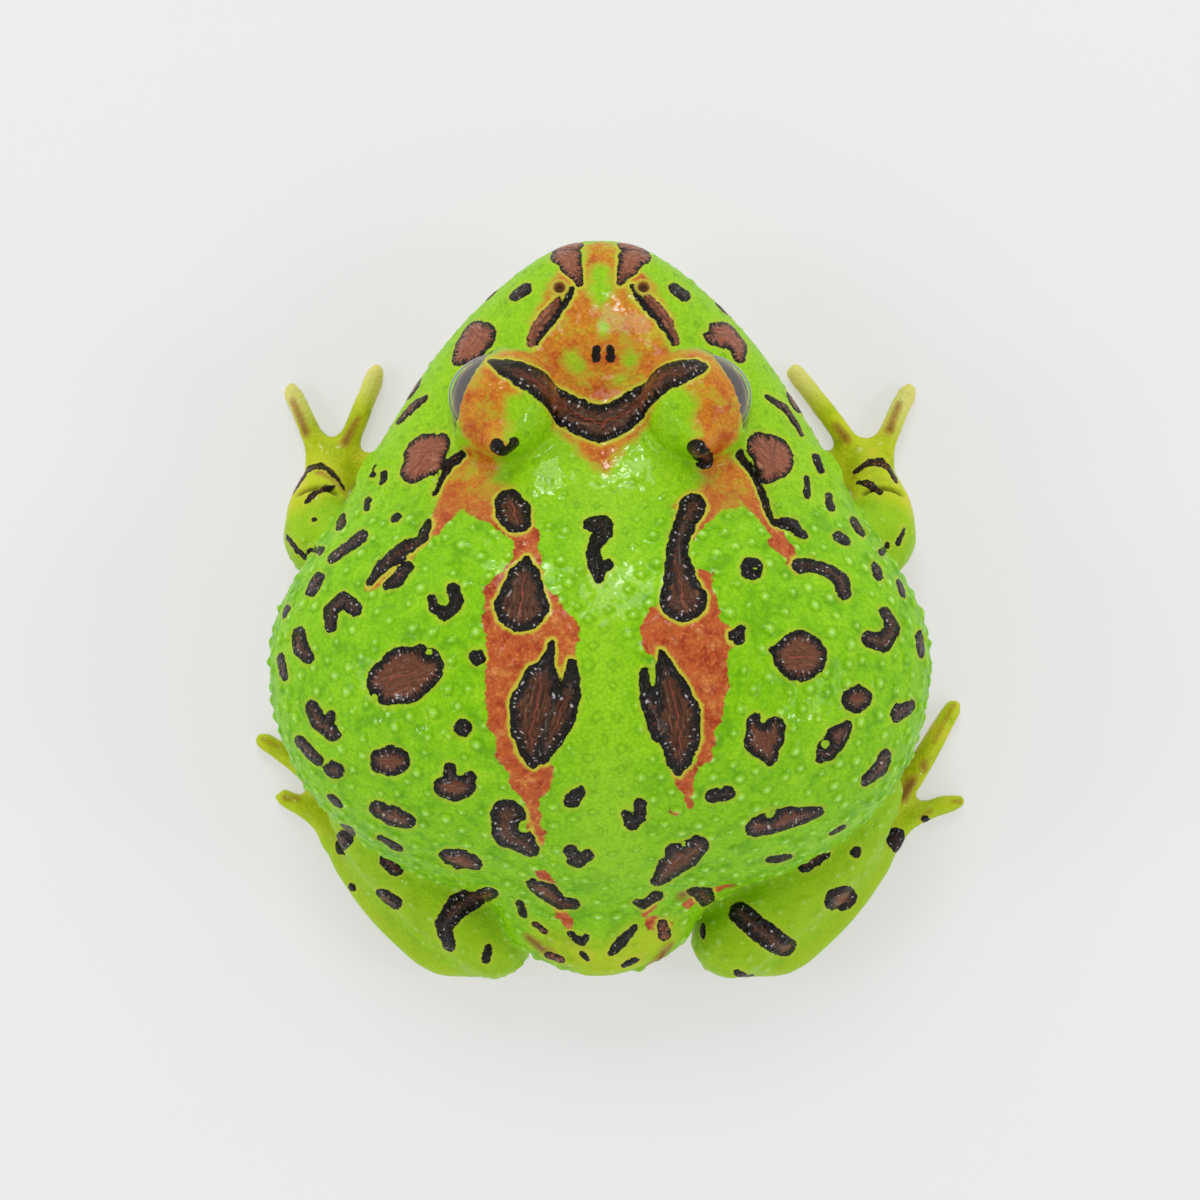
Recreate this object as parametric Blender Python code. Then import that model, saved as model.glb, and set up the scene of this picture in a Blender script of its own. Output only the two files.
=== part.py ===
"""A horned frog sitting on the floor, life size, as one named solid for each part of its body.

The frog faces -Y, its left side is +X, and it rests on the floor at z = 0 with the origin under
the middle of its box. Sizes in the tables below are in millimetres: across from the middle of
the body, back from the tip of the snout, and up from the floor.
"""

import math

import bmesh
import bpy
import numpy as np
from mathutils import Matrix, Vector
from mathutils.bvhtree import BVHTree

MM = 0.001
GAP = 0.3  # clear space between two solids that touch on the real animal
FAR = 80.0  # past the whole animal, for cutters
SEAM_WELD = 0.001  # points of a new form that lie this near each other are one
MESH_WELD = 0.004  # the same for a finished solid
SHARP_ANGLE = 50.0  # degrees between two faces that are shaded as an edge

# The body
BODY_LENGTH = 90.0  # from the snout to the vent
RING_COUNT = 38
UPPER_POINTS = 12  # points of half a ring from the back down to its widest place
LOWER_POINTS = 7  # points of half a ring from its widest place down to the belly

# Each station gives the distance from the snout, the half width, the heights of the widest
# place, the back and the belly, and how full the upper and the lower half are (2 is an ellipse).
STATIONS = (
    (0.0, 0.0, 14.6, 14.6, 14.6, 2.0, 2.0),
    (0.7, 4.6, 14.6, 18.4, 10.8, 2.0, 2.0),
    (1.6, 6.5, 14.5, 20.0, 9.0, 2.0, 2.0),
    (3.0, 8.8, 14.4, 21.6, 7.2, 2.0, 2.1),
    (5.2, 11.6, 14.3, 23.3, 5.4, 1.95, 2.2),
    (9.0, 15.7, 14.1, 25.6, 3.6, 1.9, 2.3),
    (14.0, 20.0, 13.9, 27.6, 2.2, 1.9, 2.3),
    (20.0, 24.0, 13.6, 29.0, 1.0, 1.9, 2.3),
    (26.0, 27.6, 13.4, 30.8, 0.2, 1.95, 2.3),
    (31.0, 30.6, 13.8, 33.2, -0.4, 2.0, 2.3),
    (37.0, 34.4, 15.0, 36.6, -0.7, 2.1, 2.3),
    (43.5, 38.3, 16.4, 39.6, -0.9, 2.15, 2.3),
    (50.5, 40.1, 17.0, 41.4, -1.0, 2.2, 2.3),
    (57.0, 39.6, 17.0, 41.4, -1.0, 2.2, 2.3),
    (63.5, 37.4, 16.8, 39.4, -0.9, 2.2, 2.3),
    (68.5, 34.2, 16.4, 36.2, -0.7, 2.2, 2.3),
    (73.0, 29.4, 15.8, 32.0, -0.5, 2.15, 2.2),
    (76.6, 23.4, 15.0, 27.6, 0.0, 2.1, 2.1),
    (79.0, 16.6, 13.6, 24.2, 0.8, 2.0, 2.0),
    (82.0, 12.4, 12.6, 20.4, 2.0, 2.0, 2.0),
    (85.0, 11.0, 12.0, 17.6, 3.4, 2.0, 2.0),
    (87.6, 8.0, 11.8, 15.4, 5.6, 2.0, 2.0),
    (89.4, 3.6, 11.6, 13.4, 8.6, 2.0, 2.0),
    (90.0, 0.0, 11.6, 11.6, 11.6, 2.0, 2.0),
)

# Soft forms of the back: across, from the snout, half width, half length and height of each.
RELIEF = {
    "trough between the eyes": (0.0, 18.0, 4.6, 6.5, -2.2),
    "brow mound": (6.2, 27.0, 3.6, 3.4, 0.8),
    "neck dip": (0.0, 31.5, 13.0, 3.2, -0.8),
    "hollow behind the eardrum": (18.5, 31.0, 5.0, 2.6, -0.9),
    "shoulder mound": (16.5, 37.0, 5.0, 4.0, 1.3),
    "edge of the snout": (8.6, 9.5, 2.4, 4.2, 0.7),
    "hollow of the snout": (0.0, 7.0, 2.4, 4.0, -0.4),
    "spine groove": (0.0, 55.0, 2.6, 14.0, -0.5),
    "ridge of the tail bone": (0.0, 81.0, 2.6, 6.0, 0.6),
    "dip before the thigh": (15.0, 78.0, 4.0, 3.2, -1.2),
}

# The closed mouth, as points from the snout and height, and the fold that ends it at the throat
MOUTH_LINE = ((-3.0, 13.2), (0.0, 13.2), (6.0, 12.7), (13.0, 12.5), (20.0, 11.8), (26.0, 10.3), (30.4, 8.2))
MOUTH_CORNER = 30.4
THROAT_LINE = ((32.2, 5.4), (32.6, 2.0), (32.6, -4.0))
MOUTH_GAP = 0.45
LIP_ROLL = 0.7  # how far the upper lip stands out past the lower one
LIP_DEPTH = 3.2
LIP_FADE = 8.0
NECK_LINE = ((28.5, 46.0), (35.6, 8.0), (36.4, -4.0))

# Eyes, lids and the soft horn on each lid
EYE = (11.9, 20.0, 27.0)
EYE_RADIUS = 5.8
GAZE_FORWARD = 20.0  # degrees forward of straight out
GAZE_UP = 6.0
OPENING_HALF_LENGTH = 5.2
OPENING_HALF_HEIGHT = 4.1
OPENING_START = 1.0  # from the middle of the eye, along the gaze
OPENING_END = 14.0
OPENING_FLARE = (1.25, 1.3)  # how much longer and higher the opening is at its end
LID_CENTRE = (11.5, 20.8, 27.0)
LID_RADII = (6.6, 7.2, 7.3)
HORN_ROOT = (11.4, 22.6, 29.4)
HORN_TIP = (11.8, 25.6, 34.9)
HORN_ROOT_RADIUS = 4.3
HORN_TIP_RADIUS = 1.1
HORN_FULLNESS = 0.55  # how much of the root's radius the horn keeps half way up

# Nostrils and eardrums
NOSTRIL = (5.2, 5.7)
NOSTRIL_RING_RADIUS = 0.95
NOSTRIL_RING_THICKNESS = 0.5
NOSTRIL_HOLE_RADIUS = 0.55
NOSTRIL_HOLE_DEPTH = 1.6
NOSTRIL_HOLE_RISE = 2.0  # how far the tool of the hole stands out of the skin
EARDRUM = (27.8, 18.2)  # from the snout and height, on the side of the head
EARDRUM_RING_RADIUS = 2.4
EARDRUM_RING_THICKNESS = 0.55

# Limbs of the left side: across, from the snout, height and radius of each point of a limb
LIMB_SIDES = 14
FINGER_SIDES = 8
CAP_SHARES = (0.94, 0.72, 0.40)  # ring sizes of a limb's round end
LIMBS = {
    "upper_arm": ((22.0, 42.0, 9.5, 5.2), (28.6, 39.6, 9.2, 5.1), (34.0, 36.8, 8.0, 4.6)),
    "forearm": ((35.0, 36.2, 6.9, 4.3), (35.1, 33.0, 5.8, 4.1), (34.6, 30.2, 4.2, 3.4)),
    "thigh": (
        (11.6, 77.4, 6.2, 5.8),
        (18.0, 73.0, 6.8, 6.6),
        (24.5, 68.0, 7.8, 6.1),
        (29.4, 64.4, 8.8, 4.8),
    ),
    "shank": (
        (29.8, 67.6, 8.9, 4.6),
        (26.8, 72.6, 8.0, 5.5),
        (21.0, 79.2, 7.3, 5.7),
        (13.6, 85.7, 6.7, 5.1),
    ),
}
PALM = ((34.4, 29.0, 3.0, 3.0), (33.8, 26.6, 2.2, 3.5))
PALM_FLATNESS = 0.6
FINGERS = {
    "first": (
        (31.8, 28.4, 1.5, 1.5),
        (28.6, 29.0, 1.5, 1.3),
        (25.4, 28.8, 1.35, 1.15),
        (23.2, 27.8, 1.2, 1.05),
    ),
    "second": (
        (31.8, 26.8, 1.6, 1.5),
        (28.4, 26.4, 1.5, 1.3),
        (25.0, 24.4, 1.35, 1.15),
        (22.8, 22.4, 1.2, 1.05),
    ),
    "third": (
        (32.6, 26.4, 1.8, 1.8),
        (31.3, 23.2, 1.9, 1.5),
        (29.7, 19.2, 1.6, 1.3),
        (28.2, 15.2, 1.3, 1.15),
    ),
    "fourth": (
        (34.8, 26.2, 1.8, 1.8),
        (36.2, 23.2, 1.9, 1.45),
        (37.6, 20.0, 1.6, 1.3),
        (38.8, 17.6, 1.3, 1.1),
    ),
}
THIRD_FINGER_TURN = {"left": 0.0, "right": 3.6}  # how far its tip lies further in
THIRD_FINGER_BEND = 1.5  # above 1, the turn gathers towards the tip
TARSUS = (
    (14.2, 87.2, 4.0, 3.7),
    (18.8, 87.6, 3.7, 3.5),
    (23.8, 84.4, 3.4, 3.3),
    (27.7, 80.5, 3.1, 3.1),
    (31.0, 76.0, 2.8, 2.9),
)
SOLE = ((31.0, 76.6, 2.0, 2.6), (31.6, 72.6, 1.7, 4.2), (32.2, 69.4, 1.3, 3.4))
SOLE_FLATNESS = 0.45
TOES = {
    "first": ((30.0, 73.2, 1.3, 1.3), (28.6, 70.0, 1.3, 1.15), (27.6, 67.4, 1.15, 1.0)),
    "second": ((30.6, 71.8, 1.3, 1.35), (29.8, 67.6, 1.4, 1.2), (29.4, 63.6, 1.15, 1.0)),
    "third": ((31.6, 70.6, 1.4, 1.45), (32.0, 65.6, 1.5, 1.3), (32.8, 60.4, 1.2, 1.05)),
}
OUTER_TOES = {
    "left": {
        "fourth": (
            (32.8, 70.8, 1.5, 1.6),
            (35.4, 67.2, 1.7, 1.4),
            (38.6, 64.0, 1.6, 1.3),
            (42.4, 61.5, 1.3, 1.05),
        ),
        "fifth": ((32.8, 73.6, 1.7, 1.9), (36.0, 70.6, 1.7, 1.5), (39.8, 68.7, 1.3, 1.05)),
    },
    "right": {
        "fourth": (
            (32.4, 71.0, 1.7, 1.9),
            (35.6, 67.0, 1.9, 1.7),
            (38.4, 62.6, 1.7, 1.5),
            (41.4, 57.4, 1.3, 1.1),
        ),
        "fifth": (
            (32.4, 73.6, 1.7, 1.9),
            (36.0, 71.2, 1.7, 1.5),
            (38.8, 70.0, 1.5, 1.3),
            (42.0, 69.2, 1.2, 1.0),
        ),
    },
}
HIND_SPREAD = {"left": 0.0, "right": 3.0}  # how far further out the hind leg is folded
HIND_SPREAD_SHARES = {"shank": 1.0, "thigh": 0.4}  # how much of that each part of the leg takes
SIDES = {"left": 1.0, "right": -1.0}

# Base colour and roughness of each finish
FINISHES = {
    "green_skin": ((0.27, 0.64, 0.05), 0.42),
    "rust_skin": ((0.50, 0.20, 0.05), 0.40),
    "yellow_green_skin": ((0.42, 0.60, 0.06), 0.45),
    "dark_eye": ((0.05, 0.045, 0.04), 0.08),
}
NODE_FINISHES = {
    "head": "green_skin",
    "lower_jaw": "yellow_green_skin",
    "torso": "green_skin",
    "eyelid": "rust_skin",
    "eye": "dark_eye",
    "thigh": "green_skin",
    "shank": "green_skin",
}
OTHER_FINISH = "yellow_green_skin"


def clear_scene():
    for obj in list(bpy.data.objects):
        bpy.data.objects.remove(obj, do_unlink=True)


def finish_material(name):
    """The named finish as one Principled material, made once and then shared."""
    if name in bpy.data.materials:
        return bpy.data.materials[name]
    colour, roughness = FINISHES[name]
    material = bpy.data.materials.new(name)
    material.use_nodes = True
    shader = material.node_tree.nodes["Principled BSDF"]
    shader.inputs["Base Color"].default_value = (*colour, 1.0)
    shader.inputs["Roughness"].default_value = roughness
    shader.inputs["Metallic"].default_value = 0.0
    material.diffuse_color = (*colour, 1.0)
    return material


def smooth_through(knots, values, wanted):
    """Reads a smooth curve through the knots that never overshoots at a peak."""
    knots = np.asarray(knots, float)
    values = np.asarray(values, float)
    rise = np.diff(values) / np.diff(knots)
    slope = np.empty(len(knots))
    slope[0] = rise[0]
    slope[-1] = rise[-1]
    width = np.diff(knots)
    blend = (rise[:-1] * width[1:] + rise[1:] * width[:-1]) / (width[:-1] + width[1:])
    limit = 3.0 * np.minimum(np.abs(rise[:-1]), np.abs(rise[1:]))
    steady = rise[:-1] * rise[1:] > 0
    slope[1:-1] = np.where(steady, np.sign(blend) * np.minimum(np.abs(blend), limit), 0.0)
    wanted = np.clip(wanted, knots[0], knots[-1])
    span = np.clip(np.searchsorted(knots, wanted, side="right") - 1, 0, len(knots) - 2)
    t = (wanted - knots[span]) / width[span]
    start = values[span] * (1 + 2 * t) * (1 - t) ** 2 + slope[span] * width[span] * t * (1 - t) ** 2
    end = values[span + 1] * t**2 * (3 - 2 * t) + slope[span + 1] * width[span] * t**2 * (t - 1)
    return start + end


def station_angle(from_snout):
    """Turns a distance into an angle, so that the body rounds off at both its ends."""
    share = np.clip(np.asarray(from_snout, float) / BODY_LENGTH, 0.0, 1.0)
    return np.arccos(1.0 - 2.0 * share)


def body_section(from_snout):
    """The six values of a station, read at any distance from the snout."""
    table = np.array(STATIONS)
    knots = station_angle(table[:, 0])
    angle = station_angle(from_snout)
    return [float(smooth_through(knots, table[:, column], angle)) for column in range(1, 7)]


def relief_height(across, from_snout):
    """The height that the soft forms add at a place on the back."""
    total = 0.0
    for centre, along, half_width, half_length, height in RELIEF.values():
        for middle in {centre, -centre}:
            reach = ((across - middle) / half_width) ** 2 + ((from_snout - along) / half_length) ** 2
            total += height * math.exp(-0.5 * reach)
    return total


def mouth_height(from_snout):
    line = np.array(MOUTH_LINE)
    return float(smooth_through(line[:, 0], line[:, 1], from_snout))


def behind_lip(across, from_snout, height):
    """Draws the lower jaw in under the upper lip, less and less towards the mouth's corner."""
    below = mouth_height(from_snout) - height
    if below < 0.0:
        return across
    fade = min(1.0, (MOUTH_CORNER - from_snout) / LIP_FADE) * min(1.0, across / LIP_FADE)
    return across - LIP_ROLL * fade * math.exp(-below / LIP_DEPTH)


def body_ring(from_snout):
    """One closed ring of the body, from the middle of the back round by the left side."""
    half, rim, back, belly, upper, lower = body_section(from_snout)
    outline = []
    for step in range(UPPER_POINTS + 1):
        turn = 0.5 * math.pi * (1.0 - step / UPPER_POINTS)
        across = half * math.cos(turn) ** (2.0 / upper) if step else 0.0
        height = rim + (back - rim) * math.sin(turn) ** (2.0 / upper)
        outline.append((across, height + math.sin(turn) * relief_height(across, from_snout)))
    for step in range(1, LOWER_POINTS + 1):
        turn = 0.5 * math.pi * step / LOWER_POINTS
        across = half * math.cos(turn) ** (2.0 / lower) if step < LOWER_POINTS else 0.0
        height = rim - (rim - belly) * math.sin(turn) ** (2.0 / lower)
        if from_snout < MOUTH_CORNER:
            across = behind_lip(across, from_snout, height)
        outline.append((across, height))
    ring = outline + [(-across, height) for across, height in outline[-2:0:-1]]
    return [Vector((across, from_snout, height)) for across, height in ring]


def closed_object(name, work):
    """Turns a closed bmesh in millimetres into an object in metres, with its faces pointing out."""
    bmesh.ops.recalc_face_normals(work, faces=work.faces)
    bmesh.ops.scale(work, vec=(MM, MM, MM), verts=work.verts)
    mesh = bpy.data.meshes.new(name)
    work.to_mesh(mesh)
    work.free()
    obj = bpy.data.objects.new(name, mesh)
    bpy.context.scene.collection.objects.link(obj)
    return obj


def loft(name, first_tip, rings, last_tip):
    """A closed skin over rings of equally many points, drawn to a point at each end."""
    work = bmesh.new()
    rows = [[work.verts.new(point) for point in ring] for ring in rings]
    count = len(rows[0])
    for near, far in zip(rows[:-1], rows[1:]):
        for index in range(count):
            following = (index + 1) % count
            work.faces.new((near[index], near[following], far[following], far[index]))
    for tip, row in ((first_tip, rows[0]), (last_tip, rows[-1])):
        peak = work.verts.new(tip)
        for index in range(count):
            work.faces.new((peak, row[index], row[(index + 1) % count]))
    return closed_object(name, work)


def make_body():
    turns = [math.pi * (index + 1) / (RING_COUNT + 1) for index in range(RING_COUNT)]
    distances = [0.5 * BODY_LENGTH * (1.0 - math.cos(turn)) for turn in turns]
    snout, vent = STATIONS[0], STATIONS[-1]
    rings = [body_ring(distance) for distance in distances]
    return loft("body", Vector((0.0, snout[0], snout[2])), rings, Vector((0.0, vent[0], vent[2])))


def tube(name, points, sides=12, steps=3, flatness=1.0, extra=0.0):
    """A limb: rings along a smooth line through its points, with round ends."""
    table = np.array(points, float)
    lengths = np.linalg.norm(np.diff(table[:, :3], axis=0), axis=1)
    knots = np.concatenate(([0.0], np.cumsum(lengths)))
    wanted = np.linspace(0.0, knots[-1], steps * (len(points) - 1) + 1)
    line = np.stack([smooth_through(knots, table[:, column], wanted) for column in range(4)], axis=1)
    centres = [Vector(row[:3].tolist()) for row in line]
    radii = [float(row[3]) + extra for row in line]
    last = len(centres) - 1
    ahead = [(centres[min(i + 1, last)] - centres[max(i - 1, 0)]).normalized() for i in range(last + 1)]
    rows = list(zip(centres, radii, ahead))
    for share in CAP_SHARES:
        reach = math.sqrt(1.0 - share**2)
        rows.insert(0, (centres[0] - ahead[0] * radii[0] * reach, radii[0] * share, ahead[0]))
        rows.append((centres[-1] + ahead[-1] * radii[-1] * reach, radii[-1] * share, ahead[-1]))
    rings = [tube_ring(centre, radius, forward, sides, flatness) for centre, radius, forward in rows]
    first_tip = centres[0] - ahead[0] * radii[0]
    last_tip = centres[-1] + ahead[-1] * radii[-1]
    return loft(name, first_tip, rings, last_tip)


def tube_ring(centre, radius, forward, sides, flatness):
    across = forward.cross(Vector((0.0, 0.0, 1.0))).normalized()
    up = across.cross(forward).normalized()
    turns = [2.0 * math.pi * (index + 0.5) / sides for index in range(sides)]
    return [centre + radius * (math.cos(t) * across + flatness * math.sin(t) * up) for t in turns]


def ball(name, centre, radii, segments=20, rings=12):
    work = bmesh.new()
    bmesh.ops.create_uvsphere(work, u_segments=segments, v_segments=rings, radius=1.0)
    bmesh.ops.scale(work, vec=radii, verts=work.verts)
    bmesh.ops.translate(work, vec=centre, verts=work.verts)
    return closed_object(name, work)


def ring_on(name, centre, normal, radius, thickness, sides=18, around=8):
    """A small raised ring that lies round a point of the skin."""
    work = bmesh.new()
    bmesh.ops.create_circle(work, segments=around, radius=thickness, cap_ends=False)
    bmesh.ops.rotate(work, cent=(0, 0, 0), matrix=Matrix.Rotation(math.radians(90), 3, "X"), verts=work.verts)
    bmesh.ops.translate(work, vec=(radius, 0, 0), verts=work.verts)
    bmesh.ops.spin(
        work,
        geom=work.verts[:] + work.edges[:],
        cent=(0, 0, 0),
        axis=(0, 0, 1),
        angle=2.0 * math.pi,
        steps=sides,
        use_merge=True,
    )
    bmesh.ops.remove_doubles(work, verts=work.verts, dist=SEAM_WELD)
    turn = normal.to_track_quat("Z", "Y").to_matrix()
    bmesh.ops.rotate(work, cent=(0, 0, 0), matrix=turn, verts=work.verts)
    bmesh.ops.translate(work, vec=centre, verts=work.verts)
    return closed_object(name, work)


def rod(name, start, end, radii, sides=24, tip_radii=None):
    """A straight rod with an oval section, for holes and for the opening between the lids."""
    forward = (end - start).normalized()
    across = forward.cross(Vector((0.0, 0.0, 1.0))).normalized()
    up = across.cross(forward).normalized()
    work = bmesh.new()
    rows = []
    for middle, (wide, high) in ((start, radii), (end, tip_radii or radii)):
        turns = [2.0 * math.pi * index / sides for index in range(sides)]
        row = [work.verts.new(middle + wide * math.cos(t) * across + high * math.sin(t) * up) for t in turns]
        rows.append(row)
    for index in range(sides):
        following = (index + 1) % sides
        work.faces.new((rows[0][index], rows[0][following], rows[1][following], rows[1][index]))
    for row in rows:
        work.faces.new(row)
    return closed_object(name, work)


def upright_sheet(name, line, thickness):
    """A thin sheet right across the animal that follows a line seen from the side."""
    points = [Vector((0.0, along, height)) for along, height in line]
    last = len(points) - 1
    work = bmesh.new()
    rows = []
    for index, point in enumerate(points):
        along = (points[min(index + 1, last)] - points[max(index - 1, 0)]).normalized()
        aside = Vector((0.0, -along.z, along.y)) * 0.5 * thickness
        corners = ((-FAR, aside), (FAR, aside), (FAR, -aside), (-FAR, -aside))
        rows.append([work.verts.new(point + offset + Vector((far, 0.0, 0.0))) for far, offset in corners])
    for near, far in zip(rows[:-1], rows[1:]):
        for index in range(4):
            following = (index + 1) % 4
            work.faces.new((near[index], near[following], far[following], far[index]))
    work.faces.new(rows[0])
    work.faces.new(rows[-1])
    return closed_object(name, work)


def apply_modifiers(obj):
    """Makes what the modifiers show the object's own mesh."""
    bpy.context.view_layer.update()
    shown = obj.evaluated_get(bpy.context.evaluated_depsgraph_get())
    mesh = bpy.data.meshes.new_from_object(shown)
    obj.modifiers.clear()
    obj.data = mesh


def combine(target, others, operation, solver="EXACT"):
    """Unites or cuts the target with closed objects in one step, and removes them."""
    group = bpy.data.collections.new(target.name + "_" + operation.lower())
    for other in others:
        group.objects.link(other)
    modifier = target.modifiers.new("join", "BOOLEAN")
    modifier.operation = operation
    modifier.operand_type = "COLLECTION"
    modifier.collection = group
    modifier.solver = solver
    apply_modifiers(target)
    for other in others:
        bpy.data.objects.remove(other, do_unlink=True)
    bpy.data.collections.remove(group)
    return target


def closed_surfaces(obj):
    """The closed surfaces of a mesh as lists of its vertex numbers, the largest volume first."""
    work = bmesh.new()
    work.from_mesh(obj.data)
    work.verts.ensure_lookup_table()
    left = set(range(len(work.verts)))
    found = []
    while left:
        queue = [min(left)]
        seen = set(queue)
        while queue:
            vert = work.verts[queue.pop()]
            for edge in vert.link_edges:
                other = edge.other_vert(vert).index
                if other not in seen:
                    seen.add(other)
                    queue.append(other)
        left -= seen
        found.append(seen)
    sizes = []
    for group in found:
        faces = {face for index in group for face in work.verts[index].link_faces}
        volume = 0.0
        for face in faces:
            origin = face.verts[0].co
            for near, far in zip(face.verts[1:-1], face.verts[2:]):
                volume += origin.dot(near.co.cross(far.co)) / 6.0
        sizes.append(volume)
    work.free()
    order = sorted(range(len(found)), key=lambda index: -sizes[index])
    return [found[index] for index in order]


def keep_surface(obj, wanted):
    """Deletes every vertex that isn't on the wanted closed surface."""
    work = bmesh.new()
    work.from_mesh(obj.data)
    work.verts.ensure_lookup_table()
    spare = [vert for vert in work.verts if vert.index not in wanted]
    bmesh.ops.delete(work, geom=spare, context="VERTS")
    work.to_mesh(obj.data)
    work.free()
    return obj


def parted(obj, sheet, names, direction):
    """Cuts an object with a sheet into two pieces, named in their order along a direction."""
    combine(obj, [sheet], "DIFFERENCE")
    surfaces = closed_surfaces(obj)[:2]
    pieces = []
    for surface in surfaces:
        piece = bpy.data.objects.new("piece", obj.data.copy())
        bpy.context.scene.collection.objects.link(piece)
        pieces.append(keep_surface(piece, surface))
    bpy.data.objects.remove(obj, do_unlink=True)
    pieces.sort(key=lambda piece: middle_of(piece).dot(direction))
    for piece, name in zip(pieces, names):
        piece.name = name
    return pieces


def middle_of(obj):
    return sum((vertex.co for vertex in obj.data.vertices), Vector()) / len(obj.data.vertices)


def mirrored(points, side, spread=0.0):
    return [(side * (across + spread), along, height, radius) for across, along, height, radius in points]


def simple_limb(kind, side_name, extra=0.0):
    side = SIDES[side_name]
    spread = HIND_SPREAD[side_name] * HIND_SPREAD_SHARES.get(kind, 0.0)
    return tube(side_name + "_" + kind, mirrored(LIMBS[kind], side, spread), sides=LIMB_SIDES, extra=extra)


def hand_pieces(side_name, extra=0.0):
    """The palm and four fingers of one hand."""
    side = SIDES[side_name]
    pieces = [tube(side_name + "_hand", mirrored(PALM, side), flatness=PALM_FLATNESS, extra=extra)]
    for finger, points in FINGERS.items():
        turn = THIRD_FINGER_TURN[side_name] if finger == "third" else 0.0
        reach = len(points) - 1
        turned = [(p[0] - turn * (i / reach) ** THIRD_FINGER_BEND, *p[1:]) for i, p in enumerate(points)]
        pieces.append(tube(finger, mirrored(turned, side), sides=FINGER_SIDES, steps=2, extra=extra))
    return pieces


def foot_pieces(side_name, extra=0.0):
    """The long ankle, the sole and five toes of one foot."""
    side = SIDES[side_name]
    spread = HIND_SPREAD[side_name]
    toes = {**TOES, **OUTER_TOES[side_name]}
    pieces = [tube(side_name + "_foot", mirrored(TARSUS, side, spread), extra=extra)]
    pieces.append(tube("sole", mirrored(SOLE, side, spread), flatness=SOLE_FLATNESS, extra=extra))
    for toe, points in toes.items():
        pieces.append(tube(toe, mirrored(points, side, spread), sides=FINGER_SIDES, steps=2, extra=extra))
    return pieces


def united(pieces):
    return combine(pieces[0], pieces[1:], "UNION")


def tidy_mesh(obj):
    """Keeps the largest closed surface and merges points that lie on one another."""
    keep_surface(obj, closed_surfaces(obj)[0])
    work = bmesh.new()
    work.from_mesh(obj.data)
    bmesh.ops.remove_doubles(work, verts=work.verts, dist=MESH_WELD * MM)
    bmesh.ops.dissolve_degenerate(work, dist=MESH_WELD * MM, edges=work.edges)
    bmesh.ops.triangulate(work, faces=work.faces, quad_method="BEAUTY", ngon_method="BEAUTY")
    work.to_mesh(obj.data)
    work.free()


def floor_box():
    """Everything below the floor, to give the belly, hands and feet their flats."""
    work = bmesh.new()
    bmesh.ops.create_cube(work, size=2.0 * FAR)
    bmesh.ops.translate(work, vec=(0.0, 0.5 * BODY_LENGTH, -FAR), verts=work.verts)
    return closed_object("floor_box", work)


def make_limbs(side_name):
    """The six parts of a fore and a hind leg, each cut clear of the part that it grows from."""
    arm = simple_limb("upper_arm", side_name)
    forearm = simple_limb("forearm", side_name)
    combine(forearm, [simple_limb("upper_arm", side_name, GAP)], "DIFFERENCE")
    hand = united(hand_pieces(side_name))
    combine(hand, [simple_limb("forearm", side_name, GAP)], "DIFFERENCE")
    thigh = simple_limb("thigh", side_name)
    shank = combine(simple_limb("shank", side_name), [simple_limb("thigh", side_name, GAP)], "DIFFERENCE")
    foot = united(foot_pieces(side_name))
    above = [simple_limb("shank", side_name, GAP), simple_limb("thigh", side_name, GAP)]
    combine(foot, above, "DIFFERENCE")
    return [arm, forearm, hand, thigh, shank, foot]


def limb_cutters(side_name):
    """Slightly thicker copies of all limbs, which press their own beds into the body."""
    cutters = [simple_limb(kind, side_name, GAP) for kind in LIMBS]
    return cutters + hand_pieces(side_name, GAP) + foot_pieces(side_name, GAP)


def surface_point(tree, start, direction):
    """Where a ray meets the skin, and the direction that the skin faces there."""
    point, normal, _, _ = tree.ray_cast(start * MM, direction)
    return point / MM, normal


def gaze(side):
    forward = math.radians(GAZE_FORWARD)
    up = math.radians(GAZE_UP)
    return Vector((side * math.cos(forward) * math.cos(up), -math.sin(forward) * math.cos(up), math.sin(up)))


def sided(values, side):
    return Vector((side * values[0], *values[1:]))


def lid_opening(side):
    """The oval gap between the lids, wider on the outside."""
    middle = sided(EYE, side)
    sizes = (OPENING_HALF_LENGTH, OPENING_HALF_HEIGHT)
    start = middle + gaze(side) * OPENING_START
    end = middle + gaze(side) * OPENING_END
    wider = (sizes[0] * OPENING_FLARE[0], sizes[1] * OPENING_FLARE[1])
    return rod("opening", start, end, sizes, tip_radii=wider)


def make_lid(side_name, side):
    """The bulging upper lid with its soft horn, cut to sit on the head and round the eye."""
    lid = ball(side_name + "_eyelid", sided(LID_CENTRE, side), LID_RADII)
    root, tip = sided(HORN_ROOT, side), sided(HORN_TIP, side)
    middle = (root + tip) * 0.5
    middle_radius = HORN_FULLNESS * HORN_ROOT_RADIUS + (1.0 - HORN_FULLNESS) * HORN_TIP_RADIUS
    line = ((*root, HORN_ROOT_RADIUS), (*middle, middle_radius), (*tip, HORN_TIP_RADIUS))
    combine(lid, [tube("horn", line)], "UNION")
    eye_room = ball("eye_room", sided(EYE, side), (EYE_RADIUS + GAP,) * 3)
    combine(lid, [eye_room, lid_opening(side)], "DIFFERENCE")
    return lid


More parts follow.
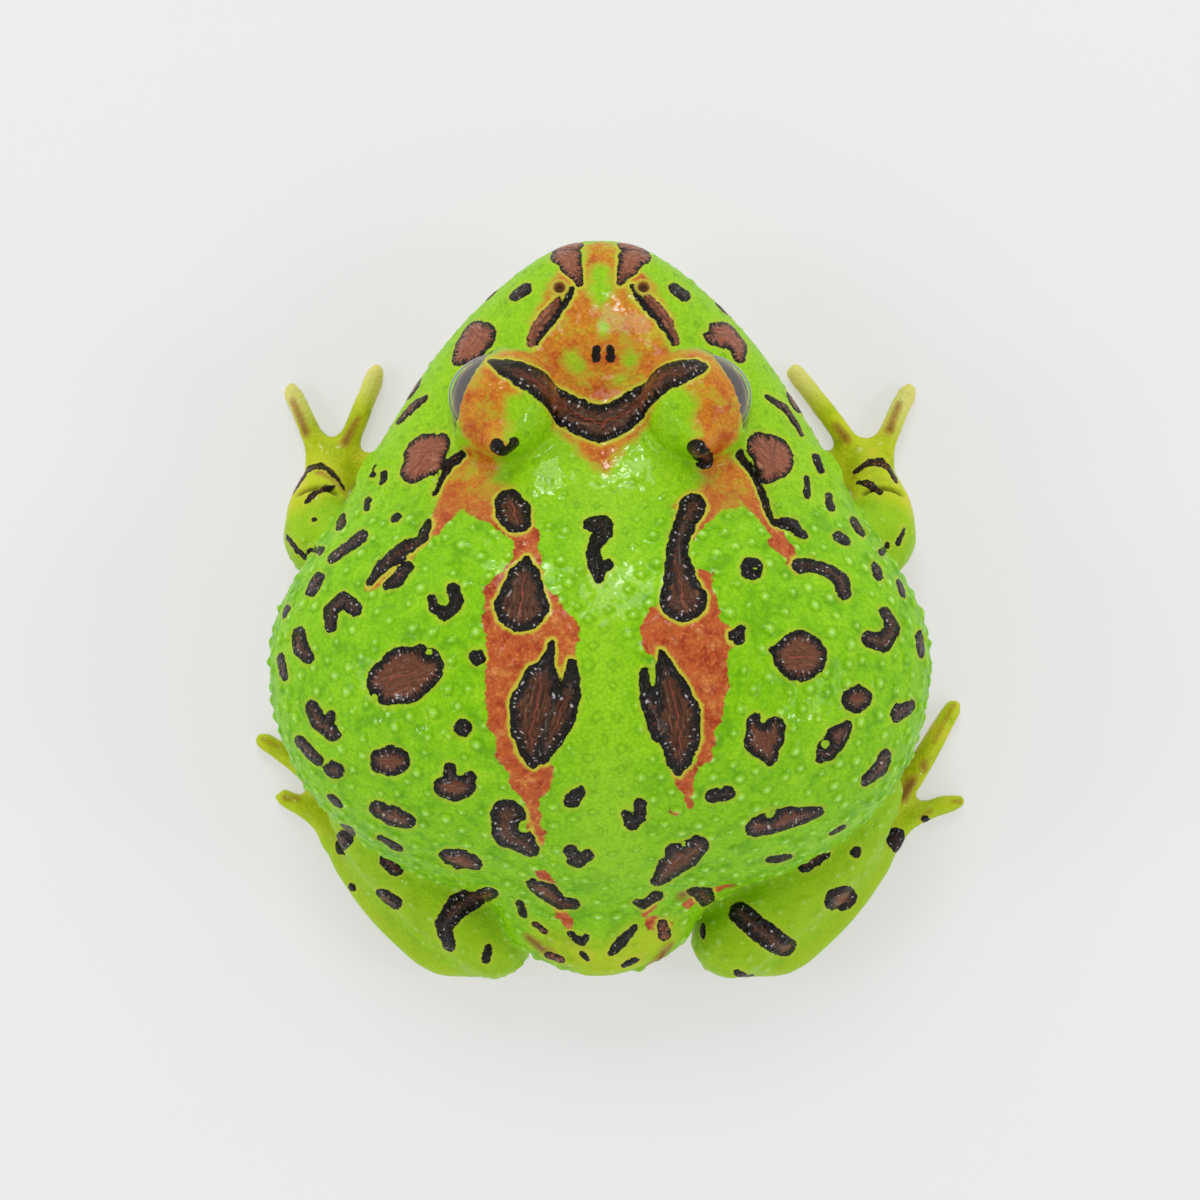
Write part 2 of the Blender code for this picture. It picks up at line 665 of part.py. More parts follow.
def head_details(tree):
    """Rims and holes of the nostrils, and the rings round the eardrums."""
    rims = []
    holes = []
    for side in SIDES.values():
        above = Vector((side * NOSTRIL[0], NOSTRIL[1], FAR))
        point, normal = surface_point(tree, above, Vector((0.0, 0.0, -1.0)))
        rims.append(ring_on("rim", point, normal, NOSTRIL_RING_RADIUS, NOSTRIL_RING_THICKNESS, sides=14))
        top = point + normal * NOSTRIL_HOLE_RISE
        bottom = point - normal * NOSTRIL_HOLE_DEPTH
        holes.append(rod("hole", top, bottom, (NOSTRIL_HOLE_RADIUS,) * 2, sides=12))
        beside = Vector((side * FAR, *EARDRUM))
        point, normal = surface_point(tree, beside, Vector((-side, 0.0, 0.0)))
        rims.append(ring_on("ring", point, normal, EARDRUM_RING_RADIUS, EARDRUM_RING_THICKNESS))
    return rims, holes


def grown(obj, extra):
    """A copy of a smooth object whose surface lies further out."""
    copy = bpy.data.objects.new(obj.name + "_grown", obj.data.copy())
    bpy.context.scene.collection.objects.link(copy)
    for vertex, normal in zip(copy.data.vertices, obj.data.vertex_normals):
        vertex.co += normal.vector * extra * MM
    return copy


def make_head_and_torso():
    """The trunk as one smooth form, bedded on the limbs and parted at the neck and the mouth."""
    body = make_body()
    tree = BVHTree.FromObject(body, bpy.context.evaluated_depsgraph_get())
    lids = []
    for side_name, side in SIDES.items():
        lid = make_lid(side_name, side)
        combine(lid, [grown(body, GAP)], "DIFFERENCE")
        lids.append(lid)
    rims, holes = head_details(tree)
    for side_name, side in SIDES.items():
        holes.append(ball("socket", sided(EYE, side), (EYE_RADIUS + GAP,) * 3))
        holes.append(lid_opening(side))
    combine(body, rims, "UNION")
    combine(body, holes, "DIFFERENCE")
    for side_name in SIDES:
        combine(body, limb_cutters(side_name), "DIFFERENCE")
    combine(body, [floor_box()], "DIFFERENCE")
    neck_cut = upright_sheet("neck_cut", NECK_LINE, GAP)
    whole_head, torso = parted(body, neck_cut, ("whole_head", "torso"), Vector((0.0, 1.0, 0.0)))
    mouth_cut = upright_sheet("mouth_cut", smooth_line(MOUTH_LINE + THROAT_LINE), MOUTH_GAP)
    jaw_and_head = parted(whole_head, mouth_cut, ("lower_jaw", "head"), Vector((0.0, 0.0, 1.0)))
    return [*jaw_and_head, torso, *lids]


def smooth_line(points, steps=3):
    """More points along a smooth curve through a line seen from the side."""
    table = np.array(points, float)
    knots = np.concatenate(([0.0], np.cumsum(np.linalg.norm(np.diff(table, axis=0), axis=1))))
    wanted = np.linspace(0.0, knots[-1], steps * (len(points) - 1) + 1)
    columns = [smooth_through(knots, table[:, column], wanted) for column in range(2)]
    return list(zip(*columns))


def make_eye(side_name, side):
    """The eyeball, turned so that its pole looks out between the lids."""
    work = bmesh.new()
    bmesh.ops.create_uvsphere(work, u_segments=20, v_segments=14, radius=EYE_RADIUS)
    turn = gaze(side).to_track_quat("Z", "Y").to_matrix()
    bmesh.ops.rotate(work, cent=(0, 0, 0), matrix=turn, verts=work.verts)
    bmesh.ops.translate(work, vec=sided(EYE, side), verts=work.verts)
    return closed_object(side_name + "_eye", work)


def finish(obj):
    """Gives a node its finish and its shading."""
    kind = obj.name.split("_", 1)[-1] if obj.name.split("_")[0] in SIDES else obj.name
    obj.data.materials.clear()
    obj.data.materials.append(finish_material(NODE_FINISHES.get(kind, OTHER_FINISH)))
    obj.data.shade_smooth()
    obj.data.set_sharp_from_angle(angle=math.radians(SHARP_ANGLE))
    obj.data.name = obj.name


def centre_on_box(nodes):
    """Moves the nodes so that the origin lies under the middle of the whole animal's box."""
    points = np.array([vertex.co for node in nodes for vertex in node.data.vertices])
    middle = 0.5 * (points.min(axis=0) + points.max(axis=0))
    for node in nodes:
        node.location = (-middle[0], -middle[1], 0.0)


def main():
    clear_scene()
    nodes = make_head_and_torso()
    for side_name, side in SIDES.items():
        limbs = make_limbs(side_name)
        for limb in limbs:
            combine(limb, [floor_box()], "DIFFERENCE")
        nodes += limbs
        nodes.append(make_eye(side_name, side))
    for node in nodes:
        tidy_mesh(node)
        finish(node)
    centre_on_box(nodes)


main()
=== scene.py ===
# %% [markdown]
# # A life-size argentine horned frog
#
# The solid model gives the frog in nineteen plain pieces with thin gaps between them. A real frog has one
# soft, wet skin over all of that, and two eyes that sit in it. This lesson loads the solids, grows one skin
# over them, presses the folds and warts into it, lays the markings on it as distances, and then mixes the
# colours from those distances. Nothing here is painted from a picture.

# %% Load the solid model
import math

import bmesh
import bpy
import numpy as np
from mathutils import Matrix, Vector
from mathutils.bvhtree import BVHTree
from mathutils.kdtree import KDTree


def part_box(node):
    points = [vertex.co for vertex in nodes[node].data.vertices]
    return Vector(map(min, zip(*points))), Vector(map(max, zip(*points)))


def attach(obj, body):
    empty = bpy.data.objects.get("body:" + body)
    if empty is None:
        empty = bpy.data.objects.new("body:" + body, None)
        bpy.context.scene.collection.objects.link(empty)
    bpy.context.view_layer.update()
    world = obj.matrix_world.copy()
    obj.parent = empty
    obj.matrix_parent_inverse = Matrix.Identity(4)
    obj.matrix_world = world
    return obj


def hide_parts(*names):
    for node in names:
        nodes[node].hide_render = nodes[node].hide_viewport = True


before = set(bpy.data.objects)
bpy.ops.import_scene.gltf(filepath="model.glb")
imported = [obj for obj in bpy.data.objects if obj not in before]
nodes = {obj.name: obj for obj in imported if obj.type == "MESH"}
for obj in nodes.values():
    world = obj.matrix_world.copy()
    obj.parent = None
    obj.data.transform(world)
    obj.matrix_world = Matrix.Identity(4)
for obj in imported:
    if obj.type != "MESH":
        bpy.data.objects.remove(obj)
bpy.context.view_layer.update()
MM = 0.001

# %% [markdown]
# ## Where things are
#
# Sizes below are in millimetres, measured across from the middle of the frog, back from the tip of the
# snout, and up from the floor. The middle is halfway between the two eyes, and the tip of the snout is the
# front of the head, so both can be read off the solids.

# %% Find the middle of the frog and the tip of its snout
left_eye_low, left_eye_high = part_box("left_eye")
right_eye_low, right_eye_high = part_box("right_eye")
MIDDLE_X = (left_eye_low.x + left_eye_high.x + right_eye_low.x + right_eye_high.x) / 4
SNOUT_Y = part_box("head")[0].y


def place(across, back, up):
    """A point in metres, from millimetres across, back from the snout and up."""
    return Vector((MIDDLE_X + across * MM, SNOUT_Y + back * MM, up * MM))


print("middle and snout in mm:", round(MIDDLE_X / MM, 2), round(SNOUT_Y / MM, 2))

# %% [markdown]
# ## The camera
#
# The photograph looks straight down on the frog from about half a metre, with the snout towards the top
# edge. The same numbers turn a place in the photograph into a ray, and that is how each spot of the pattern
# is set on the skin: its middle is given in pixels of the 1200 by 1200 photograph, and the ray shows where
# on the skin it lies.

# %% Place the camera
PHOTO_SIDE = 1200
FOCAL_PIXELS = 4360
CAMERA_HEIGHT = 550
CAMERA_BACK = 43.8
SENSOR = 36.0

camera_place = place(0, CAMERA_BACK, CAMERA_HEIGHT)
camera_data = bpy.data.cameras.new("camera")
camera_data.sensor_width = SENSOR
camera_data.lens = SENSOR * FOCAL_PIXELS / PHOTO_SIDE
camera = bpy.data.objects.new("camera", camera_data)
camera.location = camera_place
camera.rotation_euler = (0, 0, math.pi)
bpy.context.scene.collection.objects.link(camera)
bpy.context.scene.camera = camera


def photo_ray(x, y):
    """The direction from the camera through a pixel of the photograph."""
    half = PHOTO_SIDE / 2
    return Vector(((half - x) / FOCAL_PIXELS, (y - half) / FOCAL_PIXELS, -1)).normalized()


print("lens in mm:", round(camera_data.lens, 1))

# %% [markdown]
# ## One skin from many solids
#
# Frog skin runs from the lips to the toes without a seam. So copies of all the solids of flesh are swollen a
# quarter of a millimetre, which closes the gaps between them. The solids of the eyes are left out, because
# each eye stays a piece of its own. Its middle and its radius are kept here, as many later steps ask how far
# a point lies from an eye.

# %% Helpers that copy, join and settle meshes
SWELL = 0.25 * MM
WELD = 0.001 * MM
EYE_CENTRE = (11.9, 20.0, 27.0)
EYE_RADIUS = 5.8
SIDES = {"left": 1.0, "right": -1.0}
flesh_names = sorted(name for name in nodes if not name.endswith("_eye"))


def eye_middle(side):
    """The middle of the eye on one side of the frog."""
    across, back, up = EYE_CENTRE
    return place(side * across, back, up)


def swollen_copy(name):
    """A closed copy of one solid, moved out along its normals."""
    copy = bmesh.new()
    copy.from_mesh(nodes[name].data)
    bmesh.ops.remove_doubles(copy, verts=copy.verts, dist=WELD)
    copy.normal_update()
    for vert in copy.verts:
        vert.co += vert.normal * SWELL
    return copy


def add_to(whole, part):
    """Puts one bmesh into another."""
    held = bpy.data.meshes.new("held")
    part.to_mesh(held)
    whole.from_mesh(held)
    bpy.data.meshes.remove(held)
    part.free()


def object_from(bm, name):
    """A new object in the scene from a bmesh."""
    mesh = bpy.data.meshes.new(name)
    bm.to_mesh(mesh)
    bm.free()
    made = bpy.data.objects.new(name, mesh)
    bpy.context.scene.collection.objects.link(made)
    return made


def settle(made):
    """Applies an object's modifiers to its mesh."""
    bpy.context.view_layer.update()
    graph = bpy.context.evaluated_depsgraph_get()
    mesh = bpy.data.meshes.new_from_object(made.evaluated_get(graph))
    old = made.data
    made.modifiers.clear()
    made.data = mesh
    bpy.data.meshes.remove(old)


print("solids of flesh:", len(flesh_names))

# %% [markdown]
# ## Wrapping the copies
#
# All the copies go into one mesh, and a ball fills each eye socket. A voxel remesh then wraps everything in
# one even surface, as a sculptor would before adding detail. Where two copies overlap, only the outside is
# kept, so the limbs flow into the trunk.

# %% Wrap the copies in one skin
VOXEL = 0.47 * MM
SOCKET_DEPTH = 0.45

whole = bmesh.new()
for name in flesh_names:
    add_to(whole, swollen_copy(name))
for side in SIDES.values():
    filler = bmesh.new()
    bmesh.ops.create_icosphere(filler, subdivisions=4, radius=(EYE_RADIUS - SOCKET_DEPTH) * MM)
    bmesh.ops.translate(filler, verts=filler.verts, vec=eye_middle(side))
    add_to(whole, filler)
skin = object_from(whole, "skin")
wrap = skin.modifiers.new("wrap", "REMESH")
wrap.mode = "VOXEL"
wrap.voxel_size = VOXEL
settle(skin)
print("wrapped skin:", len(skin.data.vertices), "points")

# %% [markdown]
# ## Only the outer surface
#
# The wrap also leaves small closed surfaces inside, where copies enclose a gap. Only the largest connected
# surface is the skin, so the others go. Reading all the points of a mesh at once, as rows of numbers, keeps
# this and every later step fast.

# %% Helpers that read a mesh and keep its largest surface


def read(mesh, what):
    """The places or the normals of a mesh as rows of three numbers."""
    rows = np.empty(len(mesh.vertices) * 3)
    if what == "places":
        mesh.vertices.foreach_get("co", rows)
    else:
        mesh.vertex_normals.foreach_get("vector", rows)
    return rows.reshape(-1, 3)


def largest_part(mesh):
    """Keeps only the largest connected surface of a mesh."""
    bm = bmesh.new()
    bm.from_mesh(mesh)
    left = set(bm.verts)
    parts = []
    while left:
        part = {left.pop()}
        edge_of_part = list(part)
        while edge_of_part:
            vert = edge_of_part.pop()
            for edge in vert.link_edges:
                other = edge.other_vert(vert)
                if other in left:
                    left.discard(other)
                    part.add(other)
                    edge_of_part.append(other)
        parts.append(part)
    parts.sort(key=len)
    for part in parts[:-1]:
        bmesh.ops.delete(bm, geom=list(part), context="VERTS")
    bm.to_mesh(mesh)
    bm.free()
    return len(parts)


surfaces = largest_part(skin.data)
print("surfaces found:", surfaces, "points kept:", len(skin.data.vertices))

# %% [markdown]
# ## Fewer faces where nobody looks
#
# The belly rests on the floor, so its even grid is a waste. A vertex group limits the Decimate modifier to
# the surface that faces down, and the rest keeps its fine grid for the warts.

# %% Thin out the underside
BELLY_REACH = 8.0 * MM
FACING_DOWN = -0.4
THINNED_SHARE = 0.12

places = read(skin.data, "places")
facing = read(skin.data, "normals")
hidden = np.flatnonzero((places[:, 2] < BELLY_REACH) & (facing[:, 2] < FACING_DOWN))
underside = skin.vertex_groups.new(name="underside")
underside.add([int(i) for i in hidden], 1.0, "REPLACE")
share_hidden = len(hidden) / len(places)
thin = skin.modifiers.new("thin", "DECIMATE")
thin.vertex_group = "underside"
thin.ratio = 1 - share_hidden * (1 - THINNED_SHARE)
settle(skin)
skin.vertex_groups.clear()
print("hidden share:", round(share_hidden, 2), "points left:", len(skin.data.vertices))

# %% [markdown]
# ## Taking out the facets
#
# The solids are faceted, and the wrap copies every facet. Relaxing each point towards its neighbours takes
# them out, but it also thins the toes. So the same surface is then moved back out by its own average loss:
# that loss is relaxed too, so it holds the lost thickness and none of the facets.

# %% Helpers that relax a mesh


def edges_of(mesh):
    """The two ends of every edge."""
    ends = np.empty(len(mesh.edges) * 2, dtype=np.int32)
    mesh.edges.foreach_get("vertices", ends)
    return ends.reshape(-1, 2)


def relaxed(values, ends, rounds, share=0.5):
    """Each row moved towards the mean of its neighbours, again and again."""
    count = len(values)
    first, second = ends[:, 0], ends[:, 1]
    neighbours = np.bincount(ends.ravel(), minlength=count)
    for _ in range(rounds):
        mean = np.empty_like(values)
        for column in range(values.shape[1]):
            total = np.bincount(first, values[second, column], count)
            total += np.bincount(second, values[first, column], count)
            mean[:, column] = total / neighbours
        values = values + share * (mean - values)
    return values


def write_places(mesh, rows):
    """Puts new places into a mesh."""
    mesh.vertices.foreach_set("co", rows.ravel())
    mesh.update()


def refilled(mesh, ends, rounds):
    """Relaxed places with the lost thickness given back."""
    before = read(mesh, "places")
    after = relaxed(before, ends, rounds)
    write_places(mesh, after)
    out = read(mesh, "normals")
    loss = ((before - after) * out).sum(axis=1, keepdims=True)
    loss = relaxed(loss, ends, rounds)
    write_places(mesh, before)
    return after + out * loss


print("points to relax:", len(skin.data.vertices))

# %% [markdown]
# ## A lighter touch round the eyes
#
# The rims of the lids are thin, and many rounds would melt them. So the skin is relaxed twice, with many
# rounds and with few, and the two are blended: the light one holds round the eyes.

# %% Relax the skin and give it back its thickness
RELAX_ROUNDS = 19
LIGHT_ROUNDS = 5
EYE_ZONE = 7.5 * MM
EYE_ZONE_FADE = 2.0 * MM


def near_eyes(rows, reach, fade):
    """1 within reach of the middle of an eye, falling to 0 at reach plus fade."""
    near = np.zeros(len(rows))
    for side in SIDES.values():
        away = np.linalg.norm(rows - np.array(eye_middle(side)), axis=1)
        near = np.maximum(near, np.clip((reach + fade - away) / fade, 0, 1))
    return near


ends = edges_of(skin.data)
smooth = refilled(skin.data, ends, RELAX_ROUNDS)
light = refilled(skin.data, ends, LIGHT_ROUNDS)
near_eye = near_eyes(light, EYE_ZONE, EYE_ZONE_FADE)
relief = light + (smooth - light) * (1 - near_eye)[:, None]
relief[:, 2] = np.maximum(relief[:, 2], 0)
write_places(skin.data, relief)
print("height of the skin in mm:", round(relief[:, 2].max() / MM, 1))

# %% [markdown]
# ## Places on the head
#
# A ray from the camera finds the nostrils, because the photograph shows them. It can't show the line of the
# mouth, so that is given as heights over the distance from the snout, as in the solids.

# %% Find the nostrils and the line of the mouth
MOUTH_BACK = (-3.0, 0.0, 6.0, 13.0, 20.0, 26.0, 30.4)
MOUTH_UP = (13.2, 13.2, 12.7, 12.5, 11.8, 10.3, 8.2)
NOSTRIL_PIXELS = ((559.5, 288.0), (643.5, 287.5))
EARDRUM_BACK = 27.8
EARDRUM_UP = 18.2
SHOWN_LEVEL = 16


def tree_of(mesh):
    """A search tree over the faces of a mesh."""
    bm = bmesh.new()
    bm.from_mesh(mesh)
    tree = BVHTree.FromBMesh(bm)
    bm.free()
    return tree


def seen_at(tree, x, y):
    """The point of the skin that the photograph shows at a pixel, or the nearest one to that ray."""
    ray = photo_ray(x, y)
    hit = tree.ray_cast(camera_place, ray)[0]
    if hit is not None:
        return hit
    reach = (CAMERA_HEIGHT - SHOWN_LEVEL) * MM / -ray.z
    return tree.find_nearest(camera_place + ray * reach)[0]


def from_mouth(rows):
    """Distance in millimetres above or below the line of the mouth, and past its corners."""
    back = (rows[:, 1] - SNOUT_Y) / MM
    up = rows[:, 2] / MM
    level = np.interp(back, MOUTH_BACK, MOUTH_UP)
    past = np.maximum(back - MOUTH_BACK[-1], 0)
    return up - level, past


base_tree = tree_of(skin.data)
nostrils = [seen_at(base_tree, *pixel) for pixel in NOSTRIL_PIXELS]
print("nostrils in mm:", [[round(v / MM, 1) for v in spot] for spot in nostrils])

# %% [markdown]
# ## More points for the small forms
#
# Lids, nostrils and lips carry details finer than the grid, so the faces near them are split once more.
# Round the eyes the new points are relaxed a little, because a split alone leaves the old corners.

# %% Split the faces of the head where detail is fine
LIP_BAND = 1.1
PAST_CORNER = 1.0
STEEP = 0.85
NOSTRIL_ZONE = 2.0 * MM
LID_ZONE = 7.6 * MM
LID_INSIDE = -1.0 * MM
EASE_ROUNDS = 3
EASE_ZONE = 7.4 * MM
EASE_FADE = 1.0 * MM

above_mouth, past_corner = from_mouth(relief)
side_on = np.abs(read(skin.data, "normals")[:, 2]) < STEEP
fine = (np.abs(above_mouth) < LIP_BAND) & (past_corner < PAST_CORNER) & side_on
for centre in nostrils:
    fine |= np.linalg.norm(relief - np.array(centre), axis=1) < NOSTRIL_ZONE
for side in SIDES.values():
    eye = eye_middle(side)
    away = np.linalg.norm(relief - np.array(eye), axis=1)
    fine |= (away < LID_ZONE) & (side * (relief[:, 0] - eye.x) > LID_INSIDE)
bm = bmesh.new()
bm.from_mesh(skin.data)
bm.verts.ensure_lookup_table()
split = [edge for edge in bm.edges if fine[edge.verts[0].index] and fine[edge.verts[1].index]]
bmesh.ops.subdivide_edges(bm, edges=split, cuts=1, use_grid_fill=True)
bmesh.ops.triangulate(bm, faces=[face for face in bm.faces if len(face.verts) > 4])
bm.to_mesh(skin.data)
bm.free()
ends = edges_of(skin.data)
rows = read(skin.data, "places")
eased = refilled(skin.data, ends, EASE_ROUNDS)
rows += (eased - rows) * near_eyes(rows, EASE_ZONE, EASE_FADE)[:, None]
write_places(skin.data, rows)
skin_tree = tree_of(skin.data)
print("points of the skin:", len(rows))

# %% [markdown]
# ## Markings as distances
#
# Each dark mark is a chain of balls. Its pixels say where the balls lie in the photograph, and the ray puts
# them on the skin. For each point of the skin the distance to the nearest chain is kept: negative inside a
# mark, positive outside. The material can then draw a crisp, ragged edge, a yellow line just outside it and
# a black rim just inside it, at any sharpness, because it reads a smooth distance and not a picture.

# %% Helpers that turn marks into distances
FAR_AWAY = 30.0
TINY = 1e-9
OVAL_END = 0.8


def ball(x, y, radius):
    """A ball on the skin, from its pixel and its radius in pixels, as millimetres."""
    centre = seen_at(skin_tree, x, y)
    reach = CAMERA_HEIGHT - centre.z / MM
    return np.array(centre) / MM, radius * reach / FOCAL_PIXELS


def oval(x, y, long, short, turn):
    """Three balls that make an oval, turned in degrees against the clock."""
    end = OVAL_END * short
    step = max(long - end, 0.1)
    dx, dy = math.cos(math.radians(turn)) * step, -math.sin(math.radians(turn)) * step
    return ((x - dx, y - dy, end), (x, y, short), (x + dx, y + dy, end))


def balls_of(steps):
    """The balls of a chain, from its steps in pixels."""
    return [ball(*step) for step in steps]


def from_chain(rows, balls):
    """Distance in millimetres from each row to a chain of balls."""
    nearest = np.full(len(rows), FAR_AWAY)
    centre, radius = balls[0]
    if len(balls) == 1:
        return np.linalg.norm(rows - centre, axis=1) - radius
    for (start, start_radius), (end, end_radius) in zip(balls, balls[1:]):
        along = end - start
        share = np.clip((rows - start) @ along / max(along @ along, TINY), 0, 1)
        away = np.linalg.norm(rows - start - share[:, None] * along, axis=1)
        nearest = np.minimum(nearest, away - start_radius - share * (end_radius - start_radius))
    return nearest


def from_fields(rows, fields):
    """Distance to the nearest of many chains."""
    nearest = np.full(len(rows), FAR_AWAY)
    for steps in fields.values():
        nearest = np.minimum(nearest, from_chain(rows, balls_of(steps)))
    return nearest


middle_ball = ball(PHOTO_SIDE / 2, PHOTO_SIDE / 2, 10)
print("ten pixels in mm:", round(float(middle_ball[1]), 2))

# %% [markdown]
# ## Which way runs round a mark
#
# The rim of a real mark is crossed by fine ridges, and its field is streaked along its length. To draw
# those, the material also has to know how far round the edge of its mark a point lies, and how far it is
# from the middle line of the mark, with a sign for the side. Both follow from the same chain of balls.
#
# A ball looks narrow where the skin turns away from the camera. So the skin and the balls are first pressed
# flatter along the sight line, and a mark on a flank comes out as wide as in the photograph.

# %% Helpers that measure round and along a mark
DEPTH_SHARE = 0.55
MARK_MARGIN = 4
DOT_LENGTH = 0.02
GAP, BESIDE, ROUND, ROSY, PLAIN = range(5)
NO_MARK = (FAR_AWAY, 0.0, 0.0, 0.0, 0.0)


def frame_of_chain(rows, balls):
    """Rows of distance to a chain, signed distance from its middle line, and way round its edge."""
    if len(balls) == 1:
        centre, radius = balls[0]
        balls = [balls[0], (centre + np.array((DOT_LENGTH, 0.0, 0.0)), radius)]
    lengths = [np.linalg.norm(end[0] - start[0]) for start, end in zip(balls, balls[1:])]
    best = np.tile(NO_MARK, (len(rows), 1))
    run = 0.0
    for (start, start_radius), (end, end_radius), length in zip(balls, balls[1:], lengths):
        ahead = (end - start) / max(length, TINY)
        left = np.cross((0.0, 0.0, 1.0), ahead)
        along = np.clip((rows - start) @ ahead, 0, length)
        offset = rows - start - along[:, None] * ahead
        radius = start_radius + (end_radius - start_radius) * along / max(length, TINY)
        leftward = offset @ left
        turn = np.arctan2(leftward, offset @ ahead)
        way = run + along
        way = np.where(leftward >= 0, way, 2 * sum(lengths) - way) - radius * turn
        found = np.stack((np.linalg.norm(offset, axis=1) - radius, leftward, way, 0 * way, 0 * way), axis=1)
        nearer = found[:, GAP] < best[:, GAP]
        best[nearer] = found[nearer]
        run += length
    return best


def pressed(rows, middle):
    """Rows with less depth along the sight line."""
    sight = middle - np.array(camera_place) / MM
    sight /= np.linalg.norm(sight)
    depth = (rows - middle) @ sight
    return rows - (1 - DEPTH_SHARE) * depth[:, None] * sight


def pressed_balls(steps, middle):
    """The balls of a mark, or of a bite, in the same pressed space."""
    balls = balls_of(steps)
    centres = pressed(np.array([centre for centre, _ in balls]), middle)
    return [(centre, radius) for centre, (_, radius) in zip(centres, balls)]


def frame_of_marks(rows, best, marks, bites, rosy=None, plain=()):
    """Updates the rows of distance, side, way, rosiness and plainness with every mark that lies nearer."""
    for name, steps in marks.items():
        balls = balls_of(steps)
        middle = sum(centre for centre, _ in balls) / len(balls)
        longest = max(np.linalg.norm(centre - middle) + radius for centre, radius in balls)
        reach = longest / DEPTH_SHARE + MARK_MARGIN
        close = np.flatnonzero(np.linalg.norm(rows - middle, axis=1) < reach)
        near_rows = pressed(rows[close], middle)
        found = frame_of_chain(near_rows, pressed_balls(steps, middle))
        for bite in bites.get(name, ()):
            bitten = -from_chain(near_rows, pressed_balls([bite], middle))
            found[:, GAP] = np.maximum(found[:, GAP], bitten)
        found[:, ROSY] = (rosy or {}).get(name, 0.0)
        found[:, PLAIN] = name in plain
        nearer = found[:, GAP] < best[close, GAP]
        best[close[nearer]] = found[nearer]


print("columns kept for each point:", len(NO_MARK))

# %% [markdown]
# ## The marks of the head
#
# The head has the boldest pattern: a dark band from lid to lid, a pair of lines from the nostrils to the
# eyes, a blotch on each cheek before and behind the eye, and a twin dot between them.

# %% Dark marks of the head
HEAD_MARKS = {
    "left lip patch": ((561, 255, 11), (569, 258, 13), (572, 268, 10), (577, 277, 5.5), (580, 283, 3)),
    "right lip patch": ((640, 255, 11), (632, 258, 13), (628, 268, 10), (623, 277, 5.5), (620, 283, 3)),
    "left lip patch, low": ((561, 249, 9), (573, 246, 10.5)),
    "right lip patch, low": ((640, 249, 9), (628, 246, 10.5)),
    "left nose band": ((558, 302, 4), (548, 314, 6), (538, 328, 6), (531, 343, 4)),
    "left nose line": ((572, 289, 2), (567, 300, 2.8), (557, 314, 3), (547, 327, 2.6), (535, 343, 2.4)),
    "right nose band": ((648, 299, 4), (657, 309, 5.5), (667, 322, 5), (676, 342, 3.5)),
    "right nose line": ((632, 287, 2), (640, 300, 3), (652, 313, 3), (663, 325, 2.6), (674, 343, 2.4)),
    "left cheek dot": ((516, 295, 6.5), (525, 289, 7)),
    "right cheek dot": ((675, 289, 6.5), (684, 295, 7)),
    "left front blotch": ((473, 333, 14), (481, 337, 16), (470, 346, 18), (460, 357, 9)),
    "right front blotch": ((714, 334, 12), (727, 335, 15), (738, 345, 11), (739, 356, 7)),
    "left twin dot": ((596.3, 349, 3.6), (596.3, 359, 3.6)),
    "right twin dot": ((610.4, 349, 3.6), (610.4, 359, 3.6)),
    "brow left": (
        *((491, 362, 3), (506, 368, 9), (522, 375, 13)),
        *((539, 383, 15), (553, 396, 15), (568, 411, 16.5)),
    ),
    "brow middle": ((568, 411, 16.5), (585, 420, 18), (602, 424, 19), (620, 417, 17), (636, 404, 14.5)),
    "brow right": (
        *((636, 404, 14.5), (650, 389, 14), (663, 378, 14.5)),
        *((680, 372, 13), (695, 368, 9), (703, 367, 4)),
    ),
    "left lid spot": ((496, 446, 6.5), (505, 453, 4.5), (514, 443, 6)),
    "right lid spot": ((696, 451, 11), (700, 456, 11), (705, 460, 9)),
    "left temple": ((425, 398, 3), (412, 408, 6), (399, 421, 4)),
    "right temple": ((767, 397, 2.5), (786, 409, 4.5), (796, 424, 4), (801, 434, 2)),
    "left rear blotch": ((414, 470, 14), (425, 456, 23), (437, 446, 14)),
    "right rear blotch": ((761, 447, 15), (772, 457, 23), (768, 474, 10)),
    "left neck line": ((462, 454, 4.5), (449, 463, 4), (440, 480, 2), (434, 494, 1.2)),
    "right neck line": ((740, 455, 5), (752, 470, 2.5), (760, 484, 3.5), (769, 512, 4), (774, 524, 2.5)),
    "left jowl a": ((384, 474, 3.5), (383, 481, 3.5)),
    "left jowl b": ((374, 467, 2.5), (373, 475, 3)),
    "left jowl c": ((368, 500, 3.5), (367, 508, 3)),
    "left jowl d": ((396, 518, 5),),
    "right jowl a": ((807, 478, 2.5), (807, 495, 3.5)),
    "right jowl b": ((816, 457, 3.5), (820, 470, 3.5)),
    "right jowl c": ((829, 496, 3.5), (830, 507, 5)),
    "right jowl d": ((840, 538, 7), (846, 541, 5)),
    "right neck mark": ((779, 522, 4.5), (792, 525, 6), (802, 535, 4.5)),
}
ROSY_SHARES = {
    0.03: ("brow left", "brow middle", "brow right"),
    0.3: ("left neck line", "right neck line"),
    0.4: ("left temple", "right temple"),
    0.5: ("left front blotch", "right front blotch", "left rear blotch", "right rear blotch"),
    0.6: ("left lip patch", "right lip patch", "left lip patch, low", "right lip patch, low"),
    1.0: ("left nose band", "right nose band"),
}
ROSY_MARKS = {name: share for share, names in ROSY_SHARES.items() for name in names}
PLAIN_MARKS = ("left twin dot", "right twin dot", "left lid spot", "right lid spot")
HEAD_BITES = {
    "left front blotch": ((500, 326, 6),),
    "right front blotch": ((702, 326, 9), (745, 372, 9)),
    "left lid spot": ((504, 443, 3.4),),
    "right lid spot": ((696, 461, 3.2),),
    "left rear blotch": ((437, 428, 7),),
    "right rear blotch": ((763, 430, 5),),
}
